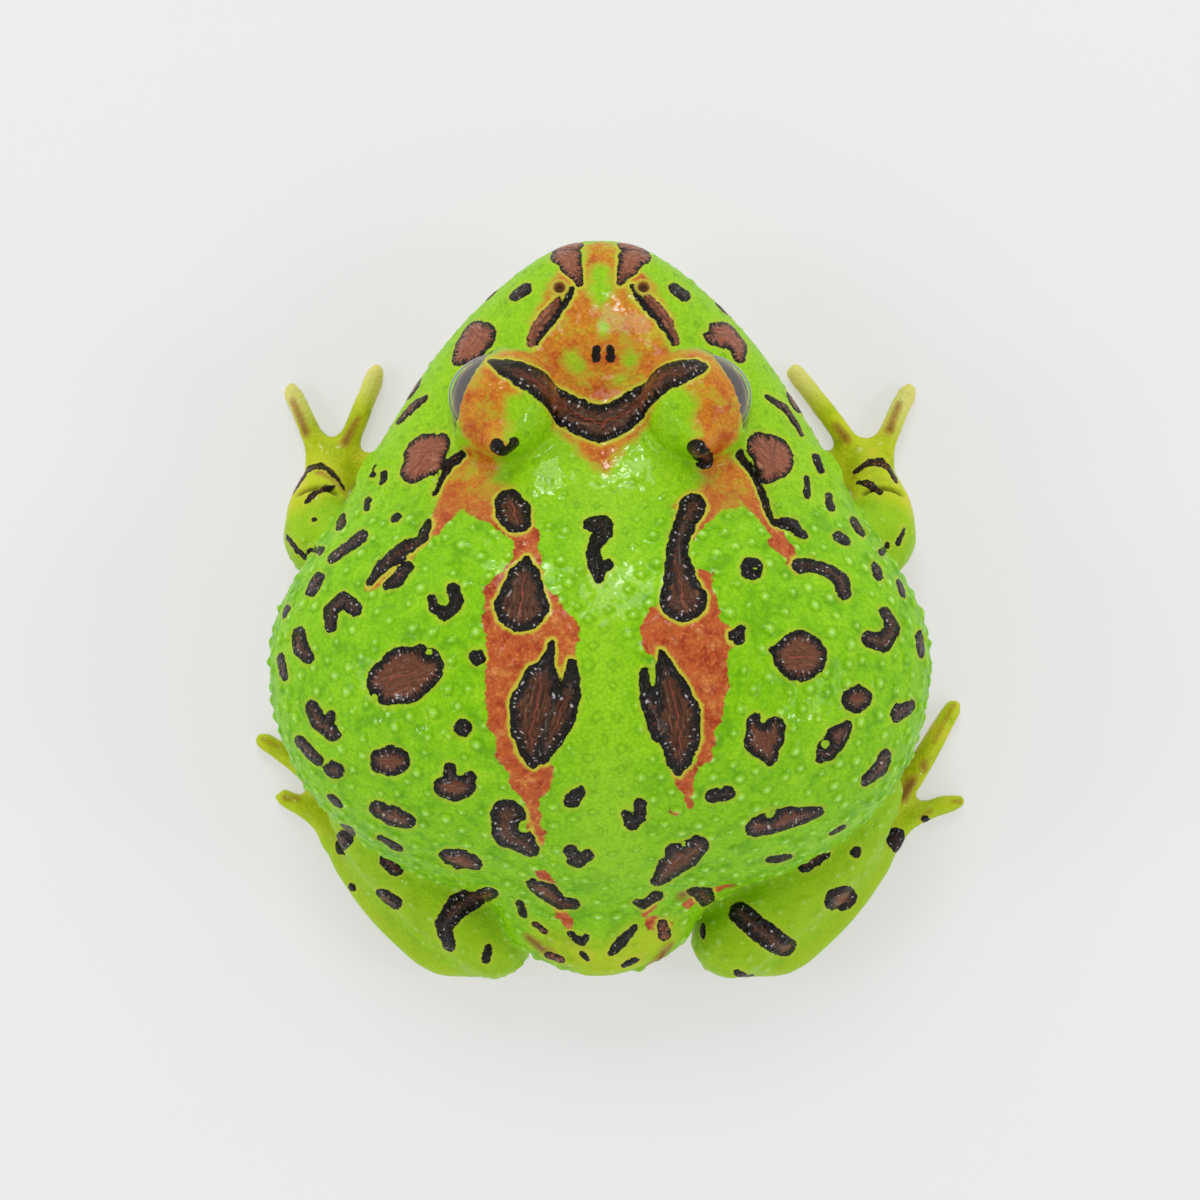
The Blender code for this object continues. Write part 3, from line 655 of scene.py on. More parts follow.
print("marks of the head:", len(HEAD_MARKS))

# %% [markdown]
# ## The marks of the back
#
# The back has two rows of large marks beside its pale middle, and small crooked ones towards the vent. No
# two match, so each is written down on its own.

# %% Dark marks of the back
BACK_MARKS = {
    "left shoulder drop": ((509, 503, 14), (513, 512, 17.5), (517, 520, 14)),
    "left tear": ((527.5, 558, 2), (524, 578, 16), (521.7, 604, 27)),
    "left leaf": (
        *((552, 642, 2), (548, 662, 6), (541, 681, 18), (535, 706, 25)),
        *((531, 728, 20), (531, 748, 13), (533, 763, 5)),
    ),
    "left leaf lobe": (
        *((572, 664, 4.5), (572, 678, 7.5), (568, 695, 12)),
        *((560, 714, 16), (549, 740, 13), (543, 758, 6)),
    ),
    "middle head": ((591, 524, 7), (603, 524, 9), (607, 533, 6), (597, 540, 7)),
    "middle tail": ((597, 540, 6), (593, 553, 6.5), (596, 568, 6.5), (599, 579, 4.5)),
    "middle knob": ((597, 571, 5), (608, 565, 5)),
    "right bone": (
        *((693, 506, 13), (687, 519, 11), (679, 538, 9.5)),
        *((677, 556, 11), (680, 580, 16), (683, 598, 23.5)),
    ),
    "right leaf": (
        *((661, 652, 2), (665, 668, 9), (671, 690, 17), (677, 714, 23)),
        *((680, 738, 20), (679, 758, 13), (678, 771, 4.5)),
    ),
    "right leaf lobe": ((644, 672, 4), (645, 687, 6), (652, 706, 10), (662, 730, 12)),
    "back dot a": ((477, 657, 7.5),),
    "back dot b": ((463, 728, 8.5),),
    "back dot c": ((751.4, 568.5, 11),),
    "back dot d": ((737, 636, 8.5), (742, 629, 4)),
    "left crook": ((453, 589, 6), (455, 602, 8.5), (445, 612, 8.5), (435, 606, 6), (432, 599, 4)),
    "rump dot a": ((572, 800, 8), (580, 791, 5)),
    "rump dot b": ((571, 851, 7), (577, 860, 9), (587, 855, 7)),
    "rump dot c": ((640, 804, 6), (640, 817, 6), (632, 823, 7), (625, 813, 3.5)),
    "rump comma": ((508, 815, 17), (512, 833, 19), (529, 848, 10)),
    "rump fern": ((697, 846, 12), (684, 856, 17.5), (670, 868, 13.5), (659, 880, 8)),
    "rump fern lobe": ((672, 849, 6), (674, 862, 9)),
    "rump dot d": ((713, 796, 7), (728, 793, 7)),
    "rump left streak": ((533, 884, 7), (546, 891, 12), (560, 903, 8), (574, 904, 6)),
    "rump right streak": ((657, 895, 6), (643, 905, 5), (636, 902, 3)),
    "vent V left": ((571, 934, 3), (582, 943, 3.5), (587, 936, 2)),
    "vent V right": ((635, 927, 3), (622, 941, 6), (611, 953, 2.5)),
    "vent dot a": ((548, 955, 4), (560, 959, 4)),
    "vent dot b": ((582, 953, 2.5), (587, 958, 2.5)),
    "vent dot c": ((624, 965, 3), (636, 960, 3)),
    "vent dot d": ((662, 924, 5), (665, 935, 6)),
    "vent dot e": ((535, 924, 3), (545, 931, 3)),
}
BACK_ROSY = {
    "rump left streak": 0.2,
    "rump fern": 0.12,
    "vent dot a": 0.6,
    "vent dot d": 0.6,
    "vent dot e": 0.6,
}
BACK_BITES = {
    "left crook": ((444, 600, 6.5),),
    "back dot c": ((755, 568.5, 3.2),),
    "rump dot b": ((581, 848, 4.5),),
    "rump comma": ((526, 826, 8),),
    "rump fern": ((683, 843, 4),),
    "rump dot d": ((719, 786, 4),),
    "middle head": ((600, 513, 3),),
    "back dot d": ((731, 643, 3.5),),
}
print("marks of the back:", len(BACK_MARKS))

# %% [markdown]
# ## The marks of the left side
#
# Round spots, ovals and short crooked bars cover the flank. An oval is three balls in a row. Most marks have
# a notch or two, and a notch is a bite: a ball that is taken out again.

# %% Dark marks of the left side
LEFT_MARKS = {
    "left stripe": (
        *((427, 524, 5), (422, 539, 6.5), (407, 548, 8)),
        *((392, 559, 7.5), (379, 570, 6), (370, 583, 3.5)),
    ),
    "left stripe mate": ((407, 568, 6.5), (397, 580, 7), (387, 586, 4)),
    "left streak": ((361, 537, 7.5), (348, 547, 6.5), (334, 557, 7)),
    "left flank a": ((313, 589, 7.5), (317, 580, 8)),
    "left hook": ((356, 609, 7), (343, 600, 8), (331, 610, 7.5), (331, 626, 6)),
    "left flank b": ((299, 635, 8), (300, 648, 8.5), (308, 656, 7.5)),
    "left flank c": ((281, 660, 6.5), (284, 674, 6.5)),
    "left flank d": ((286, 611, 6.5),),
    "left oval": oval(405, 675, 40, 28, 25),
    "left flank e": ((312, 708, 8), (319, 722, 9), (333, 733, 8)),
    "left flank e knob": ((331, 716, 5.5), (325, 723, 4.5)),
    "left flank f": oval(390, 761, 20, 15.5, 0),
    "left crown": oval(454, 787, 20, 14.5, 0),
    "left crown top": ((450, 768, 5.5), (451, 780, 6.5)),
    "left crown knob": ((470, 777, 5.5), (468, 786, 7.5)),
    "left flank g": ((300, 742, 7), (309, 751, 8), (318, 760, 6)),
    "left flank h": oval(334, 770, 11, 9, 0),
    "left flank i": oval(392, 815, 24, 12.5, -23),
    "left flank j": oval(460, 860, 21.5, 15, -14),
    "left flank k": oval(390, 843, 14, 5, -30),
    "left flank l": oval(335, 801, 9, 6, -40),
    "left knee patch": ((389, 861, 9), (395, 868, 8)),
}
LEFT_BITES = {
    "left oval": ((429, 652, 4.5), (374, 698, 5)),
    "left flank f": ((382, 744, 5),),
    "left crown": ((462, 772, 4.5),),
    "left flank i": ((388, 803, 4),),
    "left crook": ((444, 600, 6.5),),
    "left flank e": ((327, 707, 4.5),),
}
print("marks of the left side:", len(LEFT_MARKS))

# %% [markdown]
# ## The marks of the right side
#
# The right flank has the same kinds of marks in other places.

# %% Dark marks of the right side
RIGHT_MARKS = {
    "right stripe": ((799, 566, 7.5), (812, 566, 6), (826, 570, 7), (841, 580, 8.5), (843, 592, 7.5)),
    "right flank a": ((876, 569, 6.5), (878, 575, 5.5)),
    "right flank b": ((900, 584, 5), (902, 593, 5)),
    "right oval": oval(800, 656, 27, 25, 0),
    "right oval tip": ((772, 650, 2), (786, 654, 16)),
    "right hook": ((885, 613, 6.5), (893, 627, 8), (883, 643, 9), (869, 639, 7.5)),
    "right flank c": ((920, 638, 7), (921, 650, 7)),
    "right flank d": oval(857, 699, 15.5, 13.5, 10),
    "right flank d tail": ((846, 728, 7), (836, 738, 12), (827, 751, 10.5), (821, 758, 5)),
    "right drop": ((756, 723, 9.5), (763, 740, 18.5), (769, 755, 9), (770, 763, 3)),
    "right drop lobe": ((775, 727, 10), (771, 740, 13)),
    "right flank e": ((898, 713, 9), (911, 706, 6)),
    "right flank f": ((884, 758, 9), (880, 768, 10), (867, 780, 6.5)),
    "right bar": ((757, 827, 11.5), (774, 822, 13.5), (789, 818, 12.5), (804, 815, 9.5), (818, 812, 6)),
    "right flank g": ((805, 864, 8), (822, 853, 8)),
    "right flank h": oval(779, 858, 13, 5, 8),
    "right flank i": oval(838, 830, 9, 4, 30),
}
RIGHT_BITES = {
    "right oval": ((803, 684, 3.5),),
    "right bar": ((770, 813, 5.5), (769, 838, 4)),
    "right flank d tail": ((825, 744, 5),),
    "right drop": ((764, 719, 5),),
    "right hook": ((874, 625, 7),),
}
print("marks of the right side:", len(RIGHT_MARKS))

# %% [markdown]
# ## The marks of the limbs
#
# The arms carry thin bars, and the knees bold bands.

# %% Marks of arms, knees and feet
LIMB_MARKS = {
    "left arm band": ((293, 490, 4), (305, 470, 4), (320, 464, 3.5), (334, 472, 2.5), (345, 487, 1.8)),
    "left arm bar": ((305, 502, 1.5), (319, 489, 3.5), (334, 486, 1.5)),
    "left arm dot a": ((341, 519, 6), (341, 525, 6)),
    "left arm dot b": ((314, 520, 2),),
    "left elbow line": ((287, 537, 2), (296, 548, 2.5), (306, 558, 2)),
    "left elbow dot": ((311, 552, 4), (322, 551, 4)),
    "right arm band": ((853, 471, 1.5), (868, 462, 3), (882, 461, 4), (891, 468, 4), (897, 479, 2.5)),
    "right arm bar": ((855, 482, 1.2), (866, 482, 3), (880, 491, 3)),
    "right arm dot": ((855, 522, 6), (860, 531, 6)),
    "right elbow line": ((904, 528, 1.5), (898, 543, 2)),
    "right elbow dot": ((887, 545, 2.5), (881, 553, 3)),
    "left knee band": ((490, 892, 8), (474, 897, 11), (458, 906, 12), (444, 925, 8.5), (449, 946, 6)),
    "left knee bar": ((488, 948, 3.5), (486, 960, 3.5)),
    "left groin": ((520, 903, 4), (523, 914, 4)),
    "left shin patch": ((348, 829, 9), (341, 846, 8)),
    "left shin patch b": ((384, 897, 9), (394, 902, 8)),
    "left shin dot": ((350, 888, 4),),
    "right knee band": ((740, 913, 11), (757, 928, 11), (772, 939, 12), (787, 948, 10)),
    "right knee bar": ((738, 973, 4), (750, 976, 4)),
    "right groin": ((703, 926, 2.5), (703, 936, 2.5)),
    "right groin patch": ((693, 890, 6), (703, 893, 9), (708, 902, 7)),
    "right shin patch": oval(841, 899, 17, 15, 0),
    "right shin patch b": ((896, 837, 9), (900, 845, 8)),
    "right shin dot": ((856, 852, 5),),
    "right toe dot": ((925, 819, 3.5), (928, 823, 3)),
}
ARM_BARS = ("left arm band", "left arm bar", "right arm band", "right arm bar")
ARM_ROSINESS = 0.5
print("marks of the limbs:", len(LIMB_MARKS))

# %% [markdown]
# ## Brown smudges
#
# Fingers, toes and the skin beside the vent have soft brown smudges without a rim. A ray that just misses a
# toe ends on the flank behind it, so the smudges of the limbs are kept off the trunk later.

# %% Smudges of fingers, toes and vent
SMUDGES = {
    "left outer finger": ((292, 402, 4), (300, 420, 5), (304, 432, 6)),
    "left inner finger": ((358, 418, 3), (351, 430, 5), (345, 441, 6)),
    "left arm glow": ((318, 470, 4), (334, 478, 3), (344, 490, 3)),
    "right outer finger": ((898, 404, 4), (893, 418, 4), (890, 428, 6)),
    "right inner finger": ((836, 426, 4), (846, 438, 6)),
    "right arm glow": ((852, 476, 3), (862, 466, 3)),
    "right toe": ((924, 764, 4), (926, 770, 4)),
    "right sole": ((912, 782, 7), (904, 796, 8), (898, 808, 6)),
    "right sole front": ((880, 812, 5), (872, 822, 5), (876, 806, 5)),
    "left toe": ((296, 796, 3), (318, 800, 4), (330, 812, 4)),
    "left toe tips": ((262, 738, 1.5), (278, 746, 1)),
    "left low toe tip": ((284, 797, 3), (292, 799, 1)),
    "left toe root": ((326, 810, 3), (340, 826, 3)),
    "right long toe": ((954, 703, 2), (944, 722, 1), (934, 742, 1.5)),
    "right low toe": ((961, 801, 3), (952, 801, 0.5)),
    "right low toe root": ((930, 812, 2), (922, 818, 2)),
}
TRUNK_SMUDGES = {
    "vent side left": ((529, 938, 6), (545, 962, 8)),
    "vent side right": ((668, 946, 6), (654, 962, 8)),
    "right groin shade": ((684, 894, 8), (716, 889, 8), (738, 884, 5)),
}
print("smudges:", len(SMUDGES) + len(TRUNK_SMUDGES))

# %% [markdown]
# ## Marks that the photograph doesn't show
#
# The flanks turn under below their widest line. The pattern carries on there in the same kind of spots, and
# short bars cross the lips, as on other frogs of this kind. These are set from the side, by how far back
# and how high they are.

# %% Marks of the lips and the lower flanks
SIDE_MARKS = {
    "bar under nose": (6.5, 15.6, 1.0),
    "bar on lip front": (12.5, 10.8, 1.3),
    "bar under eye": (18.0, 15.5, 1.5),
    "bar under eye, low": (18.6, 13.6, 1.1),
    "bar on lip rear": (24.5, 12.6, 1.3),
    "jaw spot": (21.5, 7.2, 1.5),
    "jaw spot, front": (8.0, 9.4, 0.9),
    "flank spot a": (47.0, 9.0, 2.0),
    "flank spot b": (53.5, 11.0, 1.5),
    "flank spot c": (57.5, 6.8, 2.2),
    "flank spot d": (62.0, 12.0, 1.8),
    "flank spot e": (43.0, 14.2, 1.4),
}
FLANK_SHIFTS = {"left": (0.0, 0.0), "right": (1.6, 0.5)}
OUTSIDE = 70


def side_ball(side, back, up, radius):
    """A ball on the skin, found from the side at a distance from the snout and a height."""
    start = place(side * OUTSIDE, back, up)
    hit = skin_tree.ray_cast(start, Vector((-side, 0, 0)))[0]
    return np.array(hit if hit is not None else start) / MM, radius


def frame_of_side_marks(rows, best):
    """Updates the rows with the marks that are set from the side."""
    for side, (further_back, further_up) in FLANK_SHIFTS.items():
        for back, up, radius in SIDE_MARKS.values():
            dot = side_ball(SIDES[side], back + further_back, up + further_up, radius)
            found = frame_of_chain(rows, [dot])
            nearer = found[:, GAP] < best[:, GAP]
            best[nearer] = found[nearer]


print("marks set from each side:", len(SIDE_MARKS))

# %% [markdown]
# ## Measuring every mark
#
# Each point of the skin now learns how far it lies from its nearest mark, and where it sits in that mark.
# Marks low on the flanks are rosier than those on the back, so they get a share of the rosy colour.

# %% Measure the distance to the dark marks
MARK_GROWTH = 0.10
FLANK_ROSINESS = 0.18

points = read(skin.data, "places") / MM
mark_frame = np.tile(NO_MARK, (len(points), 1))
frame_of_marks(points, mark_frame, HEAD_MARKS, HEAD_BITES, ROSY_MARKS, PLAIN_MARKS)
frame_of_marks(points, mark_frame, BACK_MARKS, BACK_BITES, BACK_ROSY)
frame_of_marks(points, mark_frame, LEFT_MARKS, LEFT_BITES, dict.fromkeys(LEFT_MARKS, FLANK_ROSINESS))
frame_of_marks(points, mark_frame, RIGHT_MARKS, RIGHT_BITES, dict.fromkeys(RIGHT_MARKS, FLANK_ROSINESS))
frame_of_marks(points, mark_frame, LIMB_MARKS, {}, dict.fromkeys(ARM_BARS, ARM_ROSINESS))
frame_of_side_marks(points, mark_frame)
dark = mark_frame[:, GAP] - MARK_GROWTH
print("share of the skin under dark marks:", round(float((dark < 0).mean()), 3))

# %% [markdown]
# ## Rust-coloured fields
#
# Between and around the big marks the skin is rust red, mottled with orange. The fields are chains too, with
# patches of green cut out of them.

# %% Rust fields and the green patches in them
RUST_FIELDS = {
    "nose stripe": ((601, 246, 15), (601, 262, 16), (601, 285, 24)),
    "snout": ((601, 285, 24), (601, 305, 36), (601, 330, 54), (601, 350, 68), (601, 372, 78)),
    "snout rear": ((560, 380, 30), (601, 395, 36), (642, 380, 30)),
    "nostril left": ((568, 276, 12), (561, 290, 14), (552, 303, 11), (540, 320, 9)),
    "nostril right": ((635, 276, 12), (642, 290, 14), (651, 303, 11), (664, 320, 9)),
    "left lid": ((520, 366, 16), (490, 385, 28), (478, 412, 30), (484, 440, 26), (498, 452, 16)),
    "right lid": ((684, 366, 16), (712, 385, 28), (724, 412, 30), (718, 440, 26), (704, 452, 16)),
    "left lid front": ((548, 358, 16), (520, 356, 14), (496, 362, 14)),
    "right lid front": ((652, 358, 16), (682, 354, 14), (706, 360, 14)),
    "behind left eye": ((482, 462, 22), (462, 480, 24), (448, 505, 16), (434, 530, 9)),
    "left shoulder": ((470, 490, 20), (495, 505, 22), (516, 520, 19), (526, 540, 12), (528, 560, 13)),
    "behind right eye": ((718, 470, 20), (740, 486, 22), (758, 505, 15), (776, 532, 9), (786, 550, 8)),
    "right shoulder": ((740, 486, 22), (712, 498, 20), (694, 510, 20), (688, 530, 12)),
    "brow tongue": ((572, 432, 10), (601, 440, 26), (603, 458, 13), (604, 470, 4)),
    "brow tongue right": ((601, 440, 26), (632, 434, 8)),
    "left back": ((528, 560, 13), (517, 600, 33), (525, 624, 42), (532, 640, 47), (530, 668, 46)),
    "left back low": ((508, 680, 24), (506, 720, 19), (516, 752, 18), (530, 776, 24), (528, 795, 9)),
    "left back tail": ((528, 795, 9), (535, 818, 8), (536, 842, 8)),
    "left back drop": ((541, 872, 6), (552, 888, 8), (562, 912, 8), (568, 926, 6)),
    "right bone foot": ((703, 578, 8), (700, 600, 17), (690, 616, 26)),
    "right back": ((690, 612, 30), (670, 632, 30), (700, 642, 32), (724, 636, 14)),
    "right back low": ((700, 660, 26), (706, 695, 22), (700, 722, 18), (704, 755, 9)),
    "right back tail": ((684, 775, 12), (688, 792, 6), (689, 808, 2.5)),
    "right back drop": ((676, 812, 4),),
    "right rump": ((655, 900, 6), (646, 915, 5), (662, 928, 10)),
    "groin right": ((722, 887, 8), (704, 894, 13), (690, 903, 8)),
    "left stripe field": ((424, 540, 8), (404, 560, 9), (384, 578, 7), (370, 586, 6)),
    "right stripe field": ((776, 545, 7), (790, 556, 8), (796, 566, 8)),
}
GREEN_PATCHES = {
    "nose blotch": ((601, 270, 9), (601, 288, 12), (600, 300, 8)),
    "snout speck a": ((572, 357, 7), (580, 368, 6)),
    "snout speck b": ((604, 327, 4), (603, 334, 2.5)),
    "snout speck c": ((631, 357, 5), (628, 366, 4)),
    "snout speck d": ((621, 377, 5.5),),
    "left lid patch": ((519, 407, 14), (532, 420, 23), (523, 438, 17)),
    "right lid patch": ((684, 405, 14), (669, 418, 23), (679, 436, 14)),
}
rust = from_fields(points, RUST_FIELDS)
green = from_fields(points, GREEN_PATCHES)
rust = np.maximum(rust, -green)
print("share of the skin that is rust:", round(float((rust < 0).mean()), 3))

# %% [markdown]
# ## Which skin is limb
#
# Arms, hands and feet are more yellow than the back. Which points belong to them is found by asking which
# solid lies nearest. The answer is a weight from 0 to 1 at every point, so that the colours can blend.

# %% Weights for the limbs
LIMB_FADE = 2.2
LEG_FADE = 1.2
NEAR = -0.3


def tree_from_nodes(names):
    """A search tree over some solids."""
    bm = bmesh.new()
    for name in names:
        bm.from_mesh(nodes[name].data)
    tree = BVHTree.FromBMesh(bm)
    bm.free()
    return tree


def gap_to(tree, rows):
    """Distance in millimetres from each row to a search tree."""
    return np.array([tree.find_nearest(Vector(row) * MM)[3] / MM for row in rows])


def step_up(values, low, high):
    """0 below low, 1 above high, with an easy curve between."""
    share = np.clip((values - low) / (high - low), 0, 1)
    return share * share * (3 - 2 * share)


hand_names = [name for name in nodes if name.endswith(("_hand", "_forearm", "_foot"))]
leg_names = [name for name in nodes if name.endswith(("_thigh", "_shank", "_upper_arm"))]
trunk_names = [name for name in nodes if name in ("head", "torso", "lower_jaw") or name.endswith("eyelid")]
to_trunk = gap_to(tree_from_nodes(trunk_names), points)
to_hand = gap_to(tree_from_nodes(hand_names), points)
to_leg = gap_to(tree_from_nodes(leg_names), points)
limb = step_up(np.minimum(to_trunk, to_leg) - to_hand, NEAR, LIMB_FADE)
leg = step_up(to_trunk - to_leg, NEAR, LEG_FADE) * (1 - limb)
print("limb and leg shares:", round(float(limb.mean()), 2), round(float(leg.mean()), 2))

# %% [markdown]
# ## Which skin is belly, vent or pale back
#
# The belly is cream, a pale band runs down the middle of the back, and the skin round the vent is as yellow
# as the limbs. These are weights too.

# %% Weights for the belly, the vent and the pale middle
BELLY_TOP = 9.5
BELLY_FADE = 3.0
BELLY_FACING = (-0.15, 0.55)
LIMB_CREAM = 0.5
LOWEST_BAND = (-7.0, -3.0)
PALE_FADE = (-3.0, 3.0)
VENT_FADE = (-3.5, 2.5)
SMUDGE_STEP = 4.0
PALE_MIDDLE = ((604, 480, 30), (603, 560, 26), (604, 640, 22), (606, 760, 30), (606, 860, 34))
VENT = ((560, 946, 18), (604, 966, 26), (650, 940, 24))

facing = read(skin.data, "normals")
down = step_up(-facing[:, 2], *BELLY_FACING)
low = step_up(-points[:, 2], -BELLY_TOP - BELLY_FADE, -BELLY_TOP + BELLY_FADE)
belly = down * low * (1 - LIMB_CREAM * limb)
belly = np.maximum(belly, step_up(-points[:, 2], *LOWEST_BAND) * (1 - limb) * (1 - leg))
smudge = from_fields(points, SMUDGES) + SMUDGE_STEP * (1 - limb)
smudge = np.minimum(smudge, from_fields(points, TRUNK_SMUDGES))
pale = step_up(-from_chain(points, balls_of(PALE_MIDDLE)), *PALE_FADE)
vent = step_up(-from_chain(points, balls_of(VENT)), *VENT_FADE)
print("belly share:", round(float(belly.mean()), 2))

# %% [markdown]
# ## Finger tips
#
# The tips of the fingers are paler than the rest. Those that the photograph shows are found by their pixels,
# and the colour fades along the finger. The tips of the toes are brown, so they are among the smudges.

# %% Find the tips of the fingers
TIP_PIXELS = ((374, 364), (287, 391), (790, 376), (908, 396))
TIP_REACH = 7.0
TIP_FULL = 0.4

tip = np.zeros(len(points))
for x, y in TIP_PIXELS:
    centre, _ = ball(x, y, 1)
    away = np.linalg.norm(points - centre, axis=1)
    tip = np.maximum(tip, step_up(-away, -TIP_REACH, -TIP_FULL) * limb)
print("tips:", len(TIP_PIXELS))

# %% [markdown]
# ## Warts
#
# The back is set with low round warts, about two millimetres apart on the flanks and smaller towards the
# middle and on the head. Their places are drawn at random with a fixed seed, and a new one is kept only
# where no other stands too near, which gives the even but natural spacing of real skin.

# %% Helpers that scatter and raise bumps


def scattered(rows, spacing, tries, random):
    """Row numbers, picked at random, that stay apart by their own spacing."""
    cell = spacing.max()
    kept, cells = [], {}
    for index in random.permutation(len(rows))[:tries]:
        row = rows[index]
        key = tuple(int(v // cell) for v in row)
        near = (
            other
            for dx in (-1, 0, 1)
            for dy in (-1, 0, 1)
            for dz in (-1, 0, 1)
            for other in cells.get((key[0] + dx, key[1] + dy, key[2] + dz), ())
        )
        gap = spacing[index]
        if all(np.dot(row - rows[other], row - rows[other]) > gap * gap for other in near):
            kept.append(index)
            cells.setdefault(key, []).append(index)
    return kept


def bumps(rows, centres, radius, height):
    """The height of round bumps at each row, and how near its top each row is."""
    tree = KDTree(len(centres))
    for number, index in enumerate(centres):
        tree.insert(Vector(rows[index]), number)
    tree.balance()
    lift, top = np.zeros(len(rows)), np.zeros(len(rows))
    for number, row in enumerate(rows):
        _, nearest, away = tree.find(Vector(row))
        share = away / radius[nearest]
        if share < 1:
            dome = (1 - share * share) ** 1.5
            lift[number] = dome * height[nearest]
            top[number] = dome
    return lift, top


print("points that may carry a wart:", len(points))

# %% [markdown]
# ## Two sizes of warts
#
# The large warts fade out towards the pale middle and on the head, and none stands on a dark mark. Far finer
# bumps lie between them, and on the legs they are twice as high. Each wart gets a size and a height of its
# own, drawn from the same seeded numbers.

# %% Scatter the warts
SEED = 7
WART_SPACING = 1.95
WART_RADIUS = 0.9
WART_HEIGHT = 0.42
SMALL_SPACING = 1.3
SMALL_RADIUS = 0.42
SMALL_HEIGHT = 0.085
WART_TRIES = 26000
HEAD_FADE = (-36, -28)
UPWARD_FADE = (-0.35, 0.1)
DARK_FADE = (-0.6, 0.2)
LEAST_BUMPY = 0.3
LEAST_SIZE = 0.15
DARK_LIMIT = 0.5

random = np.random.RandomState(SEED)
back_of_snout = points[:, 1] - SNOUT_Y / MM
on_head = step_up(-back_of_snout, *HEAD_FADE)
upward = step_up(facing[:, 2], *UPWARD_FADE)
bumpy = upward * (1 - limb) * (1 - 0.35 * leg) * (1 - belly)
in_dark = step_up(-dark, *DARK_FADE)
size = (1 - 0.55 * pale) * (1 - 0.75 * on_head) * (1 - in_dark)
spacing = WART_SPACING * (1 + 0.25 * random.rand(len(points)))
centres = scattered(points, spacing, WART_TRIES, random)
centres = [i for i in centres if bumpy[i] > LEAST_BUMPY and size[i] > LEAST_SIZE]
wart_radius = [WART_RADIUS * (0.6 + 0.4 * size[i]) * (0.7 + 0.5 * random.rand()) for i in centres]
wart_height = [WART_HEIGHT * bumpy[i] * size[i] * (0.3 + random.rand()) for i in centres]
wart_lift, wart_top = bumps(points, centres, wart_radius, wart_height)
small_gap = np.full(len(points), SMALL_SPACING)
small = scattered(points, small_gap, WART_TRIES, random)
small = [i for i in small if bumpy[i] > LEAST_BUMPY and in_dark[i] < DARK_LIMIT]
small_radius = [SMALL_RADIUS * (0.8 + 0.5 * random.rand()) for _ in small]
small_height = [SMALL_HEIGHT * bumpy[i] * (1 + leg[i]) * (0.4 + random.rand()) for i in small]
small_lift, small_top = bumps(points, small, small_radius, small_height)
print("warts:", len(centres), "small warts:", len(small))

# %% [markdown]
# ## Lips and folds
#
# These are pressed in or raised by simple curves of the distance to a line: a dip for the line of the mouth
# and for each fold of skin, with a swelling beside it.

# %% Carve the lips and the folds
FOLDS = {
    "left eye to shoulder": (((458, 457, 3), (440, 482, 3), (430, 512, 3), (410, 545, 3)), 0.28),
    "right eye to shoulder": (((744, 458, 3), (760, 484, 3), (775, 520, 3), (800, 548, 3)), 0.28),
    "left shoulder fold": (((436, 548, 3), (462, 552, 3), (490, 548, 3)), 0.16),
    "left shoulder fold, low": (((400, 560, 3), (436, 566, 3), (466, 572, 3)), 0.14),
    "right shoulder fold": (((708, 552, 3), (736, 540, 3), (764, 548, 3)), 0.18),
    "right shoulder fold, low": (((780, 575, 3), (812, 588, 3), (838, 606, 3)), 0.16),
    "left lid crease": (((520, 372, 2), (548, 396, 2), (560, 424, 2), (548, 448, 2), (520, 462, 2)), 0.18),
    "right lid crease": (((684, 372, 2), (656, 396, 2), (644, 424, 2), (656, 448, 2), (684, 462, 2)), 0.18),
    "left hip fold": (((430, 856, 3), (470, 872, 3), (520, 884, 3)), 0.30),
    "right hip fold": (((700, 880, 3), (740, 872, 3), (790, 866, 3)), 0.30),
}
MOUTH_DEPTH = 0.62
MOUTH_WIDTH = 0.30
LIP_SWELL = 0.16
LIP_MIDDLE = 0.95
LIP_WIDTH = 0.55
HEAD_LENGTH = 33
LIP_FACING = 0.9
HOLLOW_WIDTH = 1.1
FOLD_WIDTH = 0.55
FOLD_SWELL = 0.45
SWELL_PLACE = 1.3
SWELL_WIDTH = 0.8


def dip(away, width):
    """1 at the line, falling to 0 with distance as a soft groove does."""
    return np.exp(-((away / width) ** 2))


carve = np.zeros(len(points))
hollow = np.zeros(len(points))
above_mouth, past_corner = from_mouth(points * MM)
to_mouth = np.hypot(above_mouth, past_corner)
lipped = (np.abs(facing[:, 2]) < LIP_FACING) & (points[:, 1] * MM < SNOUT_Y + HEAD_LENGTH * MM)
carve -= MOUTH_DEPTH * dip(to_mouth, MOUTH_WIDTH) * lipped
carve += LIP_SWELL * dip(to_mouth - LIP_MIDDLE, LIP_WIDTH) * lipped
# The hollow weight marks where painted shade goes into the colour of the skin.
hollow = np.maximum(hollow, dip(to_mouth, MOUTH_WIDTH * HOLLOW_WIDTH) * lipped)
for line, depth in FOLDS.values():
    away = from_chain(points, balls_of(line))
    groove = dip(np.maximum(away, 0), FOLD_WIDTH)
    swell = FOLD_SWELL * dip(away - SWELL_PLACE, SWELL_WIDTH)
    carve -= depth * (groove - swell)
print("deepest carving in mm:", round(float(carve.min()), 2))

# %% [markdown]
# ## Nostrils and eardrums
#
# Here the distance is taken to a point: a hole with a raised rim for each nostril, and a shallow ring for
# each eardrum. Close to the mouth, the nostrils and the eardrums no warts rise. A weight called calm holds
# that: it is 0 there and 1 elsewhere.

# %% Carve the nostrils and the eardrums
NOSTRIL_RADIUS = 0.62
NOSTRIL_DEPTH = 0.5
NOSTRIL_RIM = 0.26
EARDRUM_RADIUS = 2.3
EARDRUM_RIM = 0.18
EARDRUM_DIP = 0.10
RIM_WIDTH = 0.3
NOSTRIL_RIM_PLACE = 0.28

